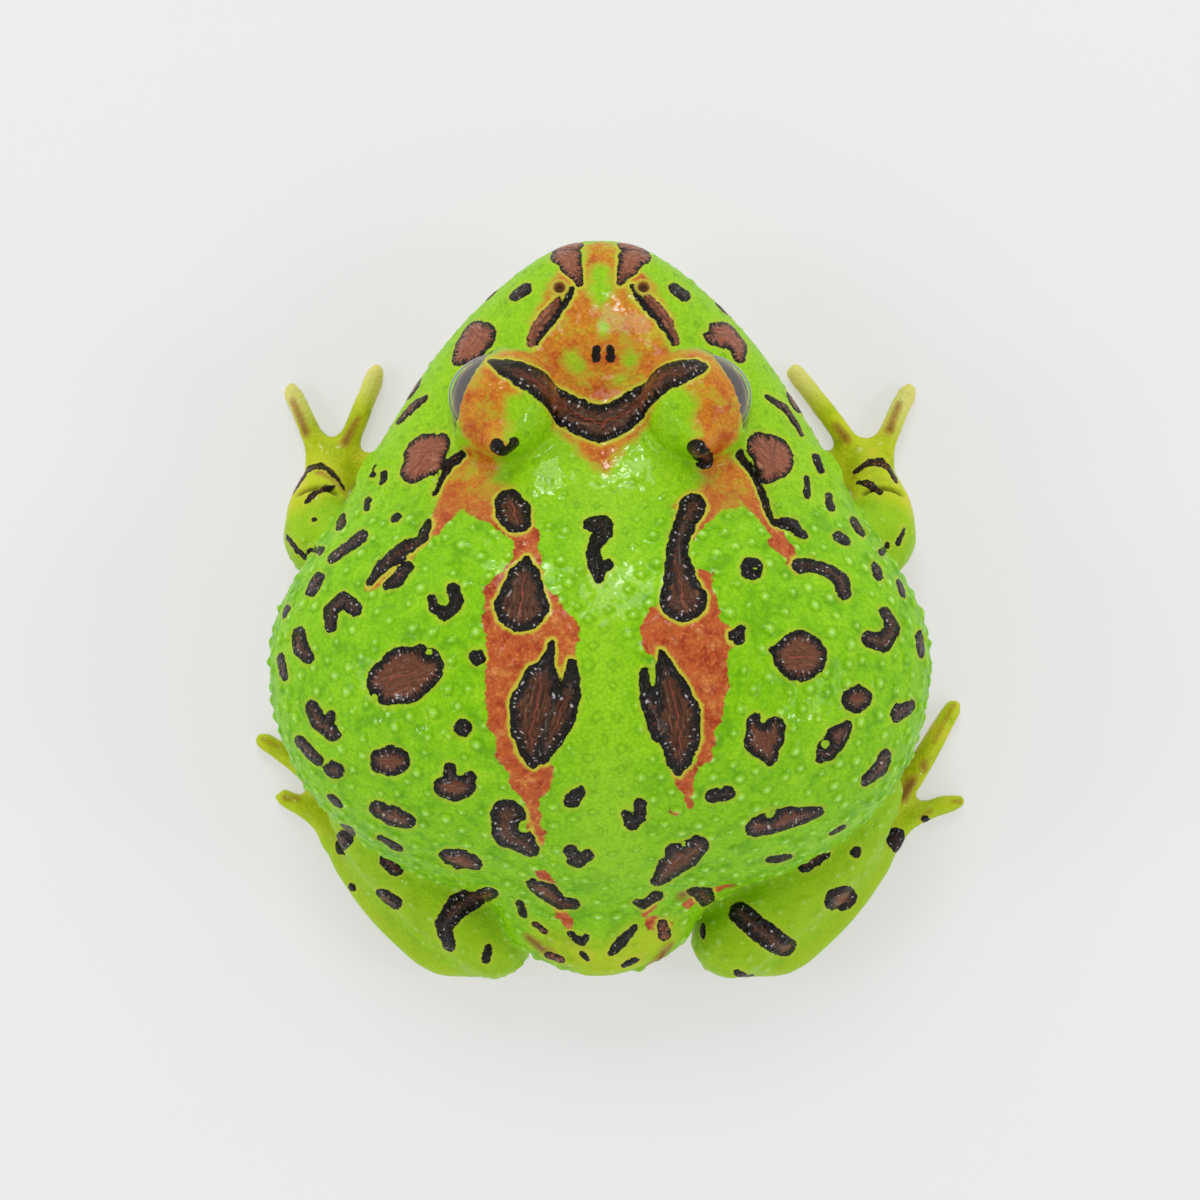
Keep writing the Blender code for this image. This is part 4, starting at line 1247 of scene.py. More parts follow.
nostril_gap = np.full(len(points), FAR_AWAY)
for centre in nostrils:
    away = np.linalg.norm(points - np.array(centre) / MM, axis=1)
    nostril_gap = np.minimum(nostril_gap, away)
carve += NOSTRIL_RIM * dip(nostril_gap - NOSTRIL_RADIUS - NOSTRIL_RIM_PLACE, RIM_WIDTH)
into_nostril = NOSTRIL_RADIUS - nostril_gap
carve -= NOSTRIL_DEPTH * step_up(into_nostril, -0.12, 0.3)
hollow = np.maximum(hollow, step_up(into_nostril, -0.02, 0.2))
eardrum_gap = np.full(len(points), FAR_AWAY)
for side in SIDES.values():
    centre, _ = side_ball(side, EARDRUM_BACK, EARDRUM_UP, 1)
    eardrum_gap = np.minimum(eardrum_gap, np.linalg.norm(points - centre, axis=1))
carve += EARDRUM_RIM * dip(eardrum_gap - EARDRUM_RADIUS, RIM_WIDTH)
carve -= EARDRUM_DIP * step_up(EARDRUM_RADIUS - eardrum_gap, 0.1, 0.6)
calm = step_up(eardrum_gap, 2.0, 3.2) * step_up(to_mouth, 0.4, 1.2) * step_up(nostril_gap, 0.9, 1.6)
print("share of calm skin:", round(float(calm.mean()), 2))

# %% [markdown]
# ## The lids stay clear of the eyes
#
# A lid that grew warts on its inner side would push into the eye. So everything that is raised or carved
# fades out where the skin lies under the eye ball.

# %% Move the skin by its warts and folds
LID_CLEARANCE = 0.9
LID_TOUCH = 0.2
MARGIN_PLACE = 0.3
MARGIN_WIDTH = 0.45
MARK_SWELL = 0.10
FINGER_TRIM = 0.30

eye_gap = np.full(len(points), FAR_AWAY)
for side in SIDES.values():
    away = np.linalg.norm(points - np.array(eye_middle(side)) / MM, axis=1)
    eye_gap = np.minimum(eye_gap, away - EYE_RADIUS)
sunk = step_up(-eye_gap, -LID_CLEARANCE, -LID_TOUCH)
margin = dip(eye_gap - MARGIN_PLACE, MARGIN_WIDTH)
lift = (wart_lift + small_lift) * calm + carve
dark_swell = MARK_SWELL * step_up(-dark, -0.1, 0.5)
lift = (lift + dark_swell) * (1 - sunk)
lift -= FINGER_TRIM * limb * step_up(facing[:, 2], -0.7, -0.2)
moved = points + facing * lift[:, None]
moved[:, 2] = np.maximum(moved[:, 2], 0.0)
write_places(skin.data, moved * MM)
skin.data.shade_smooth()
print("height of the skin in mm:", round(float(moved[:, 2].max()), 1))

# %% [markdown]
# ## Handing the numbers to the material
#
# Every distance and weight is stored on the skin under a plain name, one number a point. The outer sides of
# the legs belong to the feet, but they are as green as the rest, so the yellow of the limbs is taken back
# there.

# %% Store the distances and weights on the skin
STEEP_ROSINESS = 0.25
STEEP_FADE = (-0.75, -0.35)
LEAST_LIFT = 0.04
VENT_YELLOW = 0.7
HEEL_FADE = (66.0, 77.0)
HEEL_GREEN = 0.75


def keep(name, values):
    """Stores one number a point, for the material to read."""
    layer = skin.data.attributes.new(name, "FLOAT", "POINT")
    layer.data.foreach_set("value", values.astype(np.float32))


keep("dark", dark)
keep("beside", mark_frame[:, BESIDE])
keep("round", mark_frame[:, ROUND])
keep("head", on_head)
keep("rosy", np.maximum(mark_frame[:, ROSY], STEEP_ROSINESS * step_up(-facing[:, 2], *STEEP_FADE)))
keep("plain", mark_frame[:, PLAIN])
keep("rust", rust)
keep("wart", wart_top * np.clip(size + 0.15, 0, 1) * (wart_lift > LEAST_LIFT) * calm * (1 - sunk))
keep("small", small_top * calm * (1 - sunk))
green_heel = step_up(back_of_snout, *HEEL_FADE)
keep("limb", np.maximum(limb * (1 - HEEL_GREEN * green_heel), VENT_YELLOW * vent))
keep("leg", np.maximum(leg, limb * green_heel))
keep("belly", belly)
keep("tip", tip)
keep("smudge", smudge)
keep("margin", margin * (1 - sunk))
keep("pale", pale)
keep("hollow", hollow)
keep("nostril", nostril_gap)
keep("sunk", sunk)
skin.data.calc_loop_triangles()
print("triangles of the skin:", len(skin.data.loop_triangles))

# %% [markdown]
# ## Colours and nodes
#
# A material here is a small tree of nodes. Two helpers keep it short: one adds a node and wires its inputs,
# and one turns a colour as seen on a screen, 0 to 255, into the light values that the shader needs.

# %% Helpers for colours and nodes
SCREEN_TOE = 0.04045
WHITE = (1.0, 1.0, 1.0, 1.0)
FLOAT, COLOUR, VECTOR = "NodeSocketFloat", "NodeSocketColor", "NodeSocketVector"


def tint(red, green, blue):
    """A colour from 0 to 255 as the shader's own values."""
    shares = [value / 255 for value in (red, green, blue)]
    light = [((v + 0.055) / 1.055) ** 2.4 if v > SCREEN_TOE else v / 12.92 for v in shares]
    return (*light, 1.0)


def wire(tree, made, inputs):
    """Joins each input of a node to a socket, or sets its value."""
    for key, value in inputs.items():
        if isinstance(value, bpy.types.NodeSocket):
            tree.links.new(value, made.inputs[key])
        else:
            made.inputs[key].default_value = value
    return made


def put(tree, kind, inputs=None, **settings):
    """Adds a node, sets it up and wires it."""
    made = tree.nodes.new(kind)
    for key, value in settings.items():
        setattr(made, key, value)
    return wire(tree, made, inputs or {})


print("white as light values:", [round(v, 3) for v in tint(255, 255, 255)])

# %% [markdown]
# ## Sums with nodes
#
# The material works out its masks with small sums, so each kind of sum gets a short name. The helper that
# stretches a value is used most: it eases a distance into a mask.

# %% Helpers for sums


def worked_out(tree, first, second, operation):
    """A Math node's result."""
    return put(tree, "ShaderNodeMath", {0: first, 1: second}, operation=operation).outputs[0]


def sum_of(tree, first, second):
    """Two values added."""
    return worked_out(tree, first, second, "ADD")


def less(tree, first, second):
    """The first value less the second."""
    return worked_out(tree, first, second, "SUBTRACT")


def times(tree, first, second):
    """Two values multiplied."""
    return worked_out(tree, first, second, "MULTIPLY")


def without_sign(tree, value):
    """How large a value is, whichever its sign."""
    return put(tree, "ShaderNodeMath", {0: value}, operation="ABSOLUTE").outputs[0]


def paired(tree, first, second):
    """Two values as the first two coordinates of a place."""
    return put(tree, "ShaderNodeCombineXYZ", {0: first, 1: second}).outputs[0]


def mixed(tree, share, first, second, blend="MIX"):
    """Two colours mixed by a share."""
    made = put(tree, "ShaderNodeMix", {0: share, 6: first, 7: second}, data_type="RGBA", blend_type=blend)
    return made.outputs[2]


def tinted(tree, mask, colour, strength, tone):
    """A tone laid over a colour where a mask is, at a given strength."""
    return mixed(tree, times(tree, mask, strength), colour, tone)


def stretched(tree, value, low, high, new_low=0.0, new_high=1.0):
    """A value eased from one range to another."""
    inputs = {"Value": value, "From Min": low, "From Max": high, "To Min": new_low, "To Max": new_high}
    return put(tree, "ShaderNodeMapRange", inputs, interpolation_type="SMOOTHSTEP").outputs["Result"]


print("a sum has", len(bpy.types.ShaderNodeMath.bl_rna.properties["operation"].enum_items), "kinds")

# %% [markdown]
# ## Patterns, groups and materials
#
# Noise and cells give the natural patterns. Most are laid out in millimetres of the frog itself, and those
# inside a mark follow the mark. Either way they stay the same from every side.

# %% Helpers for patterns, groups and materials


def attribute(tree, name):
    """One of the numbers kept on the skin."""
    return put(tree, "ShaderNodeAttribute", attribute_name=name).outputs["Fac"]


def millimetres(tree):
    """Object coordinates in millimetres."""
    coords = put(tree, "ShaderNodeTexCoord").outputs["Object"]
    return put(tree, "ShaderNodeVectorMath", {0: coords, "Scale": 1000.0}, operation="SCALE").outputs[0]


def noise(tree, where, scale, detail=3.0, rough=0.55):
    """A noise value."""
    inputs = {"Vector": where, "Scale": scale, "Detail": detail, "Roughness": rough}
    return put(tree, "ShaderNodeTexNoise", inputs).outputs["Fac"]


def cells(tree, where, scale, feature="F1", dimensions="3D"):
    """A pattern of cells."""
    inputs = {"Vector": where, "Scale": scale}
    return put(tree, "ShaderNodeTexVoronoi", inputs, voronoi_dimensions=dimensions, feature=feature)


def new_group(name, inputs, outputs):
    """An empty shader node group with named sockets."""
    group = bpy.data.node_groups.new(name, "ShaderNodeTree")
    for title, kind, value in inputs:
        socket = group.interface.new_socket(title, in_out="INPUT", socket_type=kind)
        if value is not None:
            socket.default_value = value
    for title, kind in outputs:
        group.interface.new_socket(title, in_out="OUTPUT", socket_type=kind)
    return group, group.nodes.new("NodeGroupInput"), group.nodes.new("NodeGroupOutput")


def new_material(name):
    """A material with only its output node, and that node."""
    material = bpy.data.materials.new(name)
    material.use_nodes = True
    tree = material.node_tree
    tree.nodes.clear()
    return material, tree, tree.nodes.new("ShaderNodeOutputMaterial")


print("node groups so far:", len(bpy.data.node_groups))

# %% [markdown]
# ## Ragged edges and mottled colour as node groups
#
# Two effects come again and again in the skin: the edge of a field that frays into grains, and a colour that
# is never flat. Each is built once as a group with named sockets.

# %% Build the ragged edge and the mottle
ragged, entry, result = new_group(
    "ragged edge",
    (
        ("Distance", FLOAT, 0.0),
        ("Where", VECTOR, None),
        ("Grain", FLOAT, 1.5),
        ("Fray", FLOAT, 0.5),
        ("Softness", FLOAT, 0.1),
    ),
    (("Mask", FLOAT), ("Frayed Distance", FLOAT)),
)
grain_noise = noise(ragged, entry.outputs["Where"], entry.outputs["Grain"], 4.0, 0.6)
fray = times(ragged, less(ragged, grain_noise, 0.5), entry.outputs["Fray"])
frayed = sum_of(ragged, entry.outputs["Distance"], fray)
soft = entry.outputs["Softness"]
inner = times(ragged, soft, -1.0)
mask = stretched(ragged, frayed, inner, soft, 1.0, 0.0)
ragged.links.new(mask, result.inputs["Mask"])
ragged.links.new(frayed, result.inputs["Frayed Distance"])

mottle, entry, result = new_group(
    "mottle",
    (
        ("Where", VECTOR, None),
        ("Size", FLOAT, 1.0),
        ("Dark", COLOUR, None),
        ("Middle", COLOUR, None),
        ("Light", COLOUR, None),
    ),
    (("Colour", COLOUR),),
)
broad = noise(mottle, entry.outputs["Where"], entry.outputs["Size"], 5.0, 0.65)
shade = mixed(mottle, stretched(mottle, broad, 0.36, 0.5), entry.outputs["Dark"], entry.outputs["Middle"])
shade = mixed(mottle, stretched(mottle, broad, 0.52, 0.68), shade, entry.outputs["Light"])
mottle.links.new(shade, result.inputs["Colour"])


def use(tree, group, inputs):
    """Places a node group and wires it."""
    made = tree.nodes.new("ShaderNodeGroup")
    made.node_tree = group
    return wire(tree, made, inputs)


print("groups:", ragged.name, "and", mottle.name)

# %% [markdown]
# ## The skin
#
# The colours go on in the order in which they cover each other: greens, pale middle, yellow limbs, cream
# belly, brown smudges, rust, the yellow line round each mark, and the marks themselves. Each wart gets
# painted shade round its foot, painted light on its top and a painted highlight on its tip, so that it
# stands out even in soft light, and the gaps between the pebbles of the skin get painted shade.

# %% Mix the greens, the belly and the limbs
skin_material, tree, output = new_material("frog skin")
where = millimetres(tree)
distance_dark = attribute(tree, "dark")
distance_rust = attribute(tree, "rust")
wart = attribute(tree, "wart")
head_share = attribute(tree, "head")

GREENS = {"Dark": tint(112, 178, 4), "Middle": tint(137, 202, 9), "Light": tint(157, 214, 24)}
LIMB_TONES = {"Dark": tint(166, 186, 16), "Middle": tint(188, 202, 28), "Light": tint(208, 204, 56)}
BELLY_TONES = {"Dark": tint(206, 200, 150), "Middle": tint(226, 220, 176), "Light": tint(238, 232, 196)}
HEAD_GREEN = 0.6, tint(162, 212, 22)
PALE_GREEN = 0.75, tint(158, 212, 34)
GAP_SHADE = 0.28, tint(86, 152, 4)
SMALL_WART_PAINTED_LIGHT = 0.25, tint(168, 226, 70)
CROWN_PAINTED_LIGHT = 0.6, tint(184, 236, 108)
LEG_GREEN = 0.7, tint(158, 196, 22)
WART_FOOT_SHADE, WART_TIP_HIGHLIGHT, TIP_YELLOW = tint(78, 146, 4), tint(220, 246, 184), tint(218, 214, 118)
SMUDGE_BROWN, CORE_BROWN = tint(156, 96, 40), tint(108, 52, 26)
GAP_RANGE = 0.3, 0.7
FOOT_RISE, FOOT_FALL = (0.0, 0.15), (0.2, 0.55, 0.34, 0.0)
CROWN_RANGE, TOP_RANGE = (0.5, 1.0), (0.80, 1.0, 0.0, 0.35)
SMUDGE_RANGE, CORE_RANGE = (-0.35, 0.55, 0.65, 0.0), (-0.8, -0.15, 0.7, 0.0)

colour = use(tree, mottle, {"Where": where, "Size": 0.35, **GREENS}).outputs["Colour"]
colour = tinted(tree, head_share, colour, *HEAD_GREEN)
colour = tinted(tree, attribute(tree, "pale"), colour, *PALE_GREEN)
# Painted shade: the gaps between the pebbles of the skin are darkened in the colour.
pebble = cells(tree, where, 2.2).outputs["Distance"]
gap = stretched(tree, pebble, *GAP_RANGE)
colour = tinted(tree, gap, colour, *GAP_SHADE)
# Painted shade round the foot of each wart.
foot_shade = times(tree, stretched(tree, wart, *FOOT_RISE), stretched(tree, wart, *FOOT_FALL))
colour = mixed(tree, foot_shade, colour, WART_FOOT_SHADE)
# Painted light on the tops of the small warts.
colour = tinted(tree, attribute(tree, "small"), colour, *SMALL_WART_PAINTED_LIGHT)
# Painted light on the tops of the large warts.
wart_crown = stretched(tree, wart, *CROWN_RANGE)
colour = tinted(tree, wart_crown, colour, *CROWN_PAINTED_LIGHT)
colour = tinted(tree, attribute(tree, "leg"), colour, *LEG_GREEN)
# A painted highlight, pale, on the tip of each large wart.
colour = mixed(tree, stretched(tree, wart, *TOP_RANGE), colour, WART_TIP_HIGHLIGHT)
limb_colour = use(tree, mottle, {"Where": where, "Size": 0.25, **LIMB_TONES}).outputs["Colour"]
colour = mixed(tree, attribute(tree, "limb"), colour, limb_colour)
colour = mixed(tree, attribute(tree, "tip"), colour, TIP_YELLOW)
belly_colour = use(tree, mottle, {"Where": where, "Size": 0.3, **BELLY_TONES}).outputs["Colour"]
colour = mixed(tree, attribute(tree, "belly"), colour, belly_colour)
to_smudge = attribute(tree, "smudge")
colour = mixed(tree, stretched(tree, to_smudge, *SMUDGE_RANGE), colour, SMUDGE_BROWN)
colour = mixed(tree, stretched(tree, to_smudge, *CORE_RANGE), colour, CORE_BROWN)
print("nodes so far:", len(tree.nodes))

# %% [markdown]
# ## Rust fields
#
# On the head the rust is orange and breaks up into yellow and green. On the back it is redder. Its edge
# frays into grains, and a soft yellow line lies between it and each dark mark.

# %% Add the rust
HEAD_RUST = {"Dark": tint(190, 88, 24), "Middle": tint(208, 132, 30), "Light": tint(202, 182, 38)}
BACK_RUST = {"Dark": tint(164, 60, 30), "Middle": tint(194, 94, 46), "Light": tint(214, 138, 66)}
SPECKLE_ORANGE = tint(222, 158, 84)
RUST_CROWN_PAINTED_LIGHT = 0.45, tint(226, 156, 92)
RUST_GAP_SHADE = 0.28, tint(136, 56, 24)
CLOUD_YELLOW, HALO_YELLOW = tint(182, 168, 40), tint(178, 176, 42)
SPECKLE_RANGE = 0.56, 0.7, 0.0, 0.5
CLOUD_RANGE = 0.52, 0.63, 0.0, 0.75
HALO_RANGE = 0.0, 0.85, 0.75, 0.0

rust_inputs = {"Distance": distance_rust, "Where": where, "Grain": 0.55, "Fray": 2.6, "Softness": 0.14}
rust_edge = use(tree, ragged, rust_inputs)
rust_mask = rust_edge.outputs["Mask"]
on_head_rust = use(tree, mottle, {"Where": where, "Size": 0.34, **HEAD_RUST}).outputs["Colour"]
on_back_rust = use(tree, mottle, {"Where": where, "Size": 0.55, **BACK_RUST}).outputs["Colour"]
rust_colour = mixed(tree, head_share, on_back_rust, on_head_rust)
speckle = stretched(tree, noise(tree, where, 2.6, 2.0), *SPECKLE_RANGE)
rust_colour = mixed(tree, speckle, rust_colour, SPECKLE_ORANGE)
# Painted light on the tops of the warts in the rust.
rust_colour = tinted(tree, wart_crown, rust_colour, *RUST_CROWN_PAINTED_LIGHT)
# Painted shade in the gaps between the pebbles of the rust.
rust_colour = tinted(tree, gap, rust_colour, *RUST_GAP_SHADE)
cloud = stretched(tree, noise(tree, where, 0.3, 5.0, 0.65), *CLOUD_RANGE)
rust_colour = mixed(tree, times(tree, cloud, head_share), rust_colour, CLOUD_YELLOW)
colour = mixed(tree, rust_mask, colour, rust_colour)
edge_gap = without_sign(tree, rust_edge.outputs["Frayed Distance"])
halo = stretched(tree, edge_gap, *HALO_RANGE)
colour = mixed(tree, times(tree, halo, head_share), colour, HALO_YELLOW)
print("nodes so far:", len(tree.nodes))

# %% [markdown]
# ## The dark marks
#
# Just outside each mark runs a thin yellow line. Inside lies a brown field with streaks along the mark and a
# reddish vein down its middle. Some marks are rosy instead.

# %% Draw the yellow line and the field of a mark
FIELD_TONES = {"Dark": tint(44, 20, 6), "Middle": tint(80, 44, 22), "Light": tint(128, 84, 54)}
ROSY_TONES = {"Dark": tint(118, 58, 38), "Middle": tint(152, 88, 60), "Light": tint(184, 130, 104)}
LINE_YELLOW, VEIN_RED = tint(196, 196, 54), tint(158, 74, 60)
LINE_ON_GREEN, LINE_ON_RUST = 0.36, 0.9
LINE_RANGE = 0.14, 0.60, 1.0, 0.0
STREAK_LENGTHWISE, STREAK_CROSSWISE = 0.45, 2.6
WANDER = 1.6
DEEP_RANGE = -1.9, -1.3, 1.0, 0.0
VEIN_RANGE = 0.03, 0.14, 0.8, 0.0

dark_inputs = {"Distance": distance_dark, "Where": where, "Grain": 1.0, "Fray": 0.9, "Softness": 0.05}
dark_edge = use(tree, ragged, dark_inputs)
dark_mask = dark_edge.outputs["Mask"]
edge_distance = dark_edge.outputs["Frayed Distance"]
line_strength = stretched(tree, rust_mask, 0.0, 1.0, LINE_ON_GREEN, LINE_ON_RUST)
line_strength = less(tree, line_strength, attribute(tree, "plain"))
line_share = times(tree, stretched(tree, edge_distance, *LINE_RANGE), line_strength)
colour = mixed(tree, line_share, colour, LINE_YELLOW)
beside = attribute(tree, "beside")
round_mark = attribute(tree, "round")
streak_along = times(tree, round_mark, STREAK_LENGTHWISE)
streak_place = paired(tree, streak_along, times(tree, beside, STREAK_CROSSWISE))
field = use(tree, mottle, {"Where": streak_place, "Size": 1.0, **FIELD_TONES}).outputs["Colour"]
wander = times(tree, less(tree, noise(tree, where, 0.5, 2.0), 0.5), WANDER)
vein = without_sign(tree, sum_of(tree, beside, wander))
rosy = attribute(tree, "rosy")
rosy_field = use(tree, mottle, {"Where": streak_place, "Size": 1.3, **ROSY_TONES}).outputs["Colour"]
field = mixed(tree, stretched(tree, rosy, 0.0, 0.5), field, rosy_field)
deep_inside = stretched(tree, edge_distance, *DEEP_RANGE)
vein_share = times(tree, stretched(tree, vein, *VEIN_RANGE), deep_inside)
field = mixed(tree, vein_share, field, VEIN_RED)
print("nodes so far:", len(tree.nodes))

# %% [markdown]
# ## The rims of the marks
#
# A rim is nearly black and crossed by ridges, which carry a faint painted highlight in brown. Small beads
# sit in it, and some of them carry a painted highlight, a pale dot, because a real glint on a bead this
# small would get lost in the render.

# %% Draw the rims and their beads
RIM_BLACK, RIDGE_HIGHLIGHT, BEAD_HIGHLIGHT = tint(6, 4, 3), tint(26, 17, 13), tint(196, 190, 190)
RIDGE_RANGE = 0.38, 0.62
RIDGE_STRENGTH = 0.6
RIM_WAVE = 0.5
ROSY_RIM = -1.1
FIELD_RANGE = -1.35, -0.8, 1.0, 0.0
BEAD_STEP, BEAD_ROWS = 1.35, 1.2
BEAD_RANGE = 0.10, 0.26, 0.85, 0.0
BEADS_CHOSEN = 0.55, 0.78
OUTER_RANGE = -0.3, -0.16, 1.0, 0.0
INNER_RANGE = -1.6, -1.1, 0.12, 1.0
ROSY_DIMMING = 0.1, 0.5, 1.0, 0.15

ridge_inputs = {"W": round_mark, "Scale": 2.2, "Detail": 1.0}
ridge_noise = put(tree, "ShaderNodeTexNoise", ridge_inputs, noise_dimensions="1D")
ridge = stretched(tree, ridge_noise.outputs["Fac"], *RIDGE_RANGE)
rim_wave = times(tree, less(tree, ridge, 0.5), RIM_WAVE)
rim_distance = sum_of(tree, sum_of(tree, edge_distance, rim_wave), times(tree, rosy, ROSY_RIM))
field_share = stretched(tree, rim_distance, *FIELD_RANGE)
# Painted highlight: the raised ridges of the rim are lighter brown.
rim_colour = mixed(tree, times(tree, ridge, RIDGE_STRENGTH), RIM_BLACK, RIDGE_HIGHLIGHT)
mark_colour = mixed(tree, field_share, rim_colour, field)
bead_place = paired(tree, times(tree, round_mark, BEAD_STEP), times(tree, edge_distance, BEAD_ROWS))
beads = cells(tree, bead_place, 1.0, dimensions="2D")
bead_gap = beads.outputs["Distance"]
bead_lot = put(tree, "ShaderNodeSeparateColor", {0: beads.outputs["Color"]}).outputs[0]
# Painted highlights: pale dots on some of the beads of the rims.
lit = times(tree, stretched(tree, bead_gap, *BEAD_RANGE), stretched(tree, bead_lot, *BEADS_CHOSEN))
lit = times(tree, lit, stretched(tree, edge_distance, *OUTER_RANGE))
lit = times(tree, lit, stretched(tree, edge_distance, *INNER_RANGE))
lit = times(tree, lit, stretched(tree, rosy, *ROSY_DIMMING))
mark_colour = mixed(tree, lit, mark_colour, BEAD_HIGHLIGHT)
colour = mixed(tree, dark_mask, colour, mark_colour)
print("nodes so far:", len(tree.nodes))

# %% [markdown]
# ## Nostrils, lid margins and hollows
#
# A yellow ring and a brown pit mark each nostril, and a pale thread runs along the margin of each lid.
# Painted shade darkens the line of the mouth and the nostrils, as in a narrow groove, and the skin under
# each eye ball.

# %% Add the small colours of the head
RING_YELLOW, PIT_BROWN, UNDER_EYE_SHADE = tint(188, 178, 56), tint(146, 92, 44), tint(34, 28, 26)
RING_RANGE = 1.0, 1.3, 0.85, 0.0
PIT_RANGE = 0.62, 0.86, 1.0, 0.0
HOLLOW_SHADE = 0.75, tint(46, 30, 22)
MARGIN_YELLOW = 0.7, tint(206, 200, 130)

nostril = attribute(tree, "nostril")
colour = mixed(tree, stretched(tree, nostril, *RING_RANGE), colour, RING_YELLOW)
colour = mixed(tree, stretched(tree, nostril, *PIT_RANGE), colour, PIT_BROWN)
# Painted shade in the groove of the mouth and in the nostrils.
colour = tinted(tree, attribute(tree, "hollow"), colour, *HOLLOW_SHADE)
colour = tinted(tree, attribute(tree, "margin"), colour, *MARGIN_YELLOW)
# Painted shade on the skin that lies under each eye ball.
colour = mixed(tree, attribute(tree, "sunk"), colour, UNDER_EYE_SHADE)
print("nodes so far:", len(tree.nodes))

# %% [markdown]
# ## Shine, grain and relief
#
# Two bump nodes shape the light. One gives the skin itself fine grain, and inside the marks streaks and the
# beads of their rims. The other shapes only the wet coat, so that its glints are broken up. The coat is
# smoother over the marks, which look wetter than the green.

# %% Shine, grain and relief of the skin
IN_MARK_RANGE = -0.15, 0.05, 1.0, 0.0
RIM_RANGE = -1.15, -0.7, 0.0, 1.0
BEAD_DOME = 0.05, 0.6, 1.0, 0.0
RIDGE_HEIGHT, GRAIN_HEIGHT, PEBBLE_HEIGHT, FILM_HEIGHT = 0.45, 0.3, -0.45, 0.35
SKIN_ROUGHNESS = 0.35, 0.65, 0.4, 0.55
MARK_ROUGHNESS = -0.14
COAT_ON_GREEN, COAT_ON_MARK = 0.2, 0.3
COAT_ROUGH_ON_GREEN, COAT_ROUGH_ON_MARK = 0.10, 0.05

grain = noise(tree, where, 4.5, 2.0, 0.6)
in_mark = stretched(tree, distance_dark, *IN_MARK_RANGE)
rim_share = stretched(tree, distance_dark, *RIM_RANGE)
bead = stretched(tree, bead_gap, *BEAD_DOME)
streak = sum_of(tree, noise(tree, streak_place, 1.6, 2.0), noise(tree, where, 1.3, 2.0))
rim_relief = sum_of(tree, bead, times(tree, ridge, RIDGE_HEIGHT))
mark_relief = put(tree, "ShaderNodeMix", {0: rim_share, 2: streak, 3: rim_relief}).outputs[0]
plain_height = sum_of(tree, times(tree, grain, GRAIN_HEIGHT), times(tree, pebble, PEBBLE_HEIGHT))
height = sum_of(tree, plain_height, times(tree, mark_relief, in_mark))
bump = put(tree, "ShaderNodeBump", {"Height": height, "Strength": 0.85, "Distance": 0.00026})
film = times(tree, noise(tree, where, 0.7, 1.0), FILM_HEIGHT)
film = put(tree, "ShaderNodeMix", {0: in_mark, 2: film, 3: mark_relief}).outputs[0]
film_bump = put(tree, "ShaderNodeBump", {"Height": film, "Strength": 0.8, "Distance": 0.0003})
roughness = stretched(tree, noise(tree, where, 0.9, 2.0), *SKIN_ROUGHNESS)
roughness = sum_of(tree, roughness, times(tree, in_mark, MARK_ROUGHNESS))
coat = stretched(tree, in_mark, 0.0, 1.0, COAT_ON_GREEN, COAT_ON_MARK)
coat_roughness = stretched(tree, in_mark, 0.0, 1.0, COAT_ROUGH_ON_GREEN, COAT_ROUGH_ON_MARK)
surface = put(
    tree,
    "ShaderNodeBsdfPrincipled",
    {
        "Base Color": colour,
        "Roughness": roughness,
        "Normal": bump.outputs["Normal"],
        "Specular IOR Level": 0.05,
        "Coat Weight": coat,
        "Coat Roughness": coat_roughness,
        "Coat Normal": film_bump.outputs["Normal"],
    },
)
tree.links.new(surface.outputs["BSDF"], output.inputs["Surface"])
skin.data.materials.clear()
skin.data.materials.append(skin_material)
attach(skin, "root")
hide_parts(*flesh_names)
print("skin material nodes:", len(tree.nodes))

# %% [markdown]
# ## The eyes
#
# A frog's eye is a ball with a wide bronze iris, netted with dark lines, and a pupil that lies level. Over
# it bulges a clear cornea. The cornea is a second, clear ball round the first. It bulges a little more, so
# the iris lies behind it, as a real one does, and it catches the light.

# %% Model an eye ball and its cornea
GAZE_FORWARD = 20.0
GAZE_UP = 6.0
GLOBE_RADIUS = 5.55
IRIS_ANGLE = 48.0
GLOBE_BULGE = 0.40
CORNEA_BULGE = 0.60
BULGE_ANGLE = 75.0


def gaze(side):
    """The directions out of an eye, along its pupil and up."""
    forward, up = math.radians(GAZE_FORWARD), math.radians(GAZE_UP)
    out = Vector((side * math.cos(forward) * math.cos(up), -math.sin(forward) * math.cos(up), math.sin(up)))
    level = Vector((0, 0, 1)).cross(out).normalized()
    return out, level, out.cross(level).normalized()


def make_ball(name, side, radius, bulge):
    """A ball at an eye, turned so that its pole looks out, with its front drawn out by the bulge."""
    out, level, upward = gaze(side)
    bm = bmesh.new()
    bmesh.ops.create_uvsphere(bm, u_segments=96, v_segments=64, radius=radius * MM)
    centre = eye_middle(side)
    marks = []
    for vert in bm.verts:
        angle = math.degrees(vert.co.angle(Vector((0, 0, 1))))
        share = max(0.0, 1 - angle / BULGE_ANGLE)
        vert.co.z += bulge * MM * share * share * (3 - 2 * share)
        marks.append((vert.co.x / MM, vert.co.y / MM, angle))
        vert.co = centre + level * vert.co.x + upward * vert.co.y + out * vert.co.z
    bm.normal_update()
    bmesh.ops.recalc_face_normals(bm, faces=bm.faces)
    made = object_from(bm, name)
    made.data.shade_smooth()
    for title, column in (("level", 0), ("upward", 1), ("angle", 2)):
        layer = made.data.attributes.new(title, "FLOAT", "POINT")
        layer.data.foreach_set("value", np.array([mark[column] for mark in marks], dtype=np.float32))
    return made


globes, corneas = {}, {}
for side, value in SIDES.items():
    globes[side] = make_ball(side + "_eye_ball", value, GLOBE_RADIUS, GLOBE_BULGE)
    corneas[side] = make_ball(side + "_cornea", value, EYE_RADIUS, CORNEA_BULGE)
print("eye pieces:", [piece.name for piece in (*globes.values(), *corneas.values())])
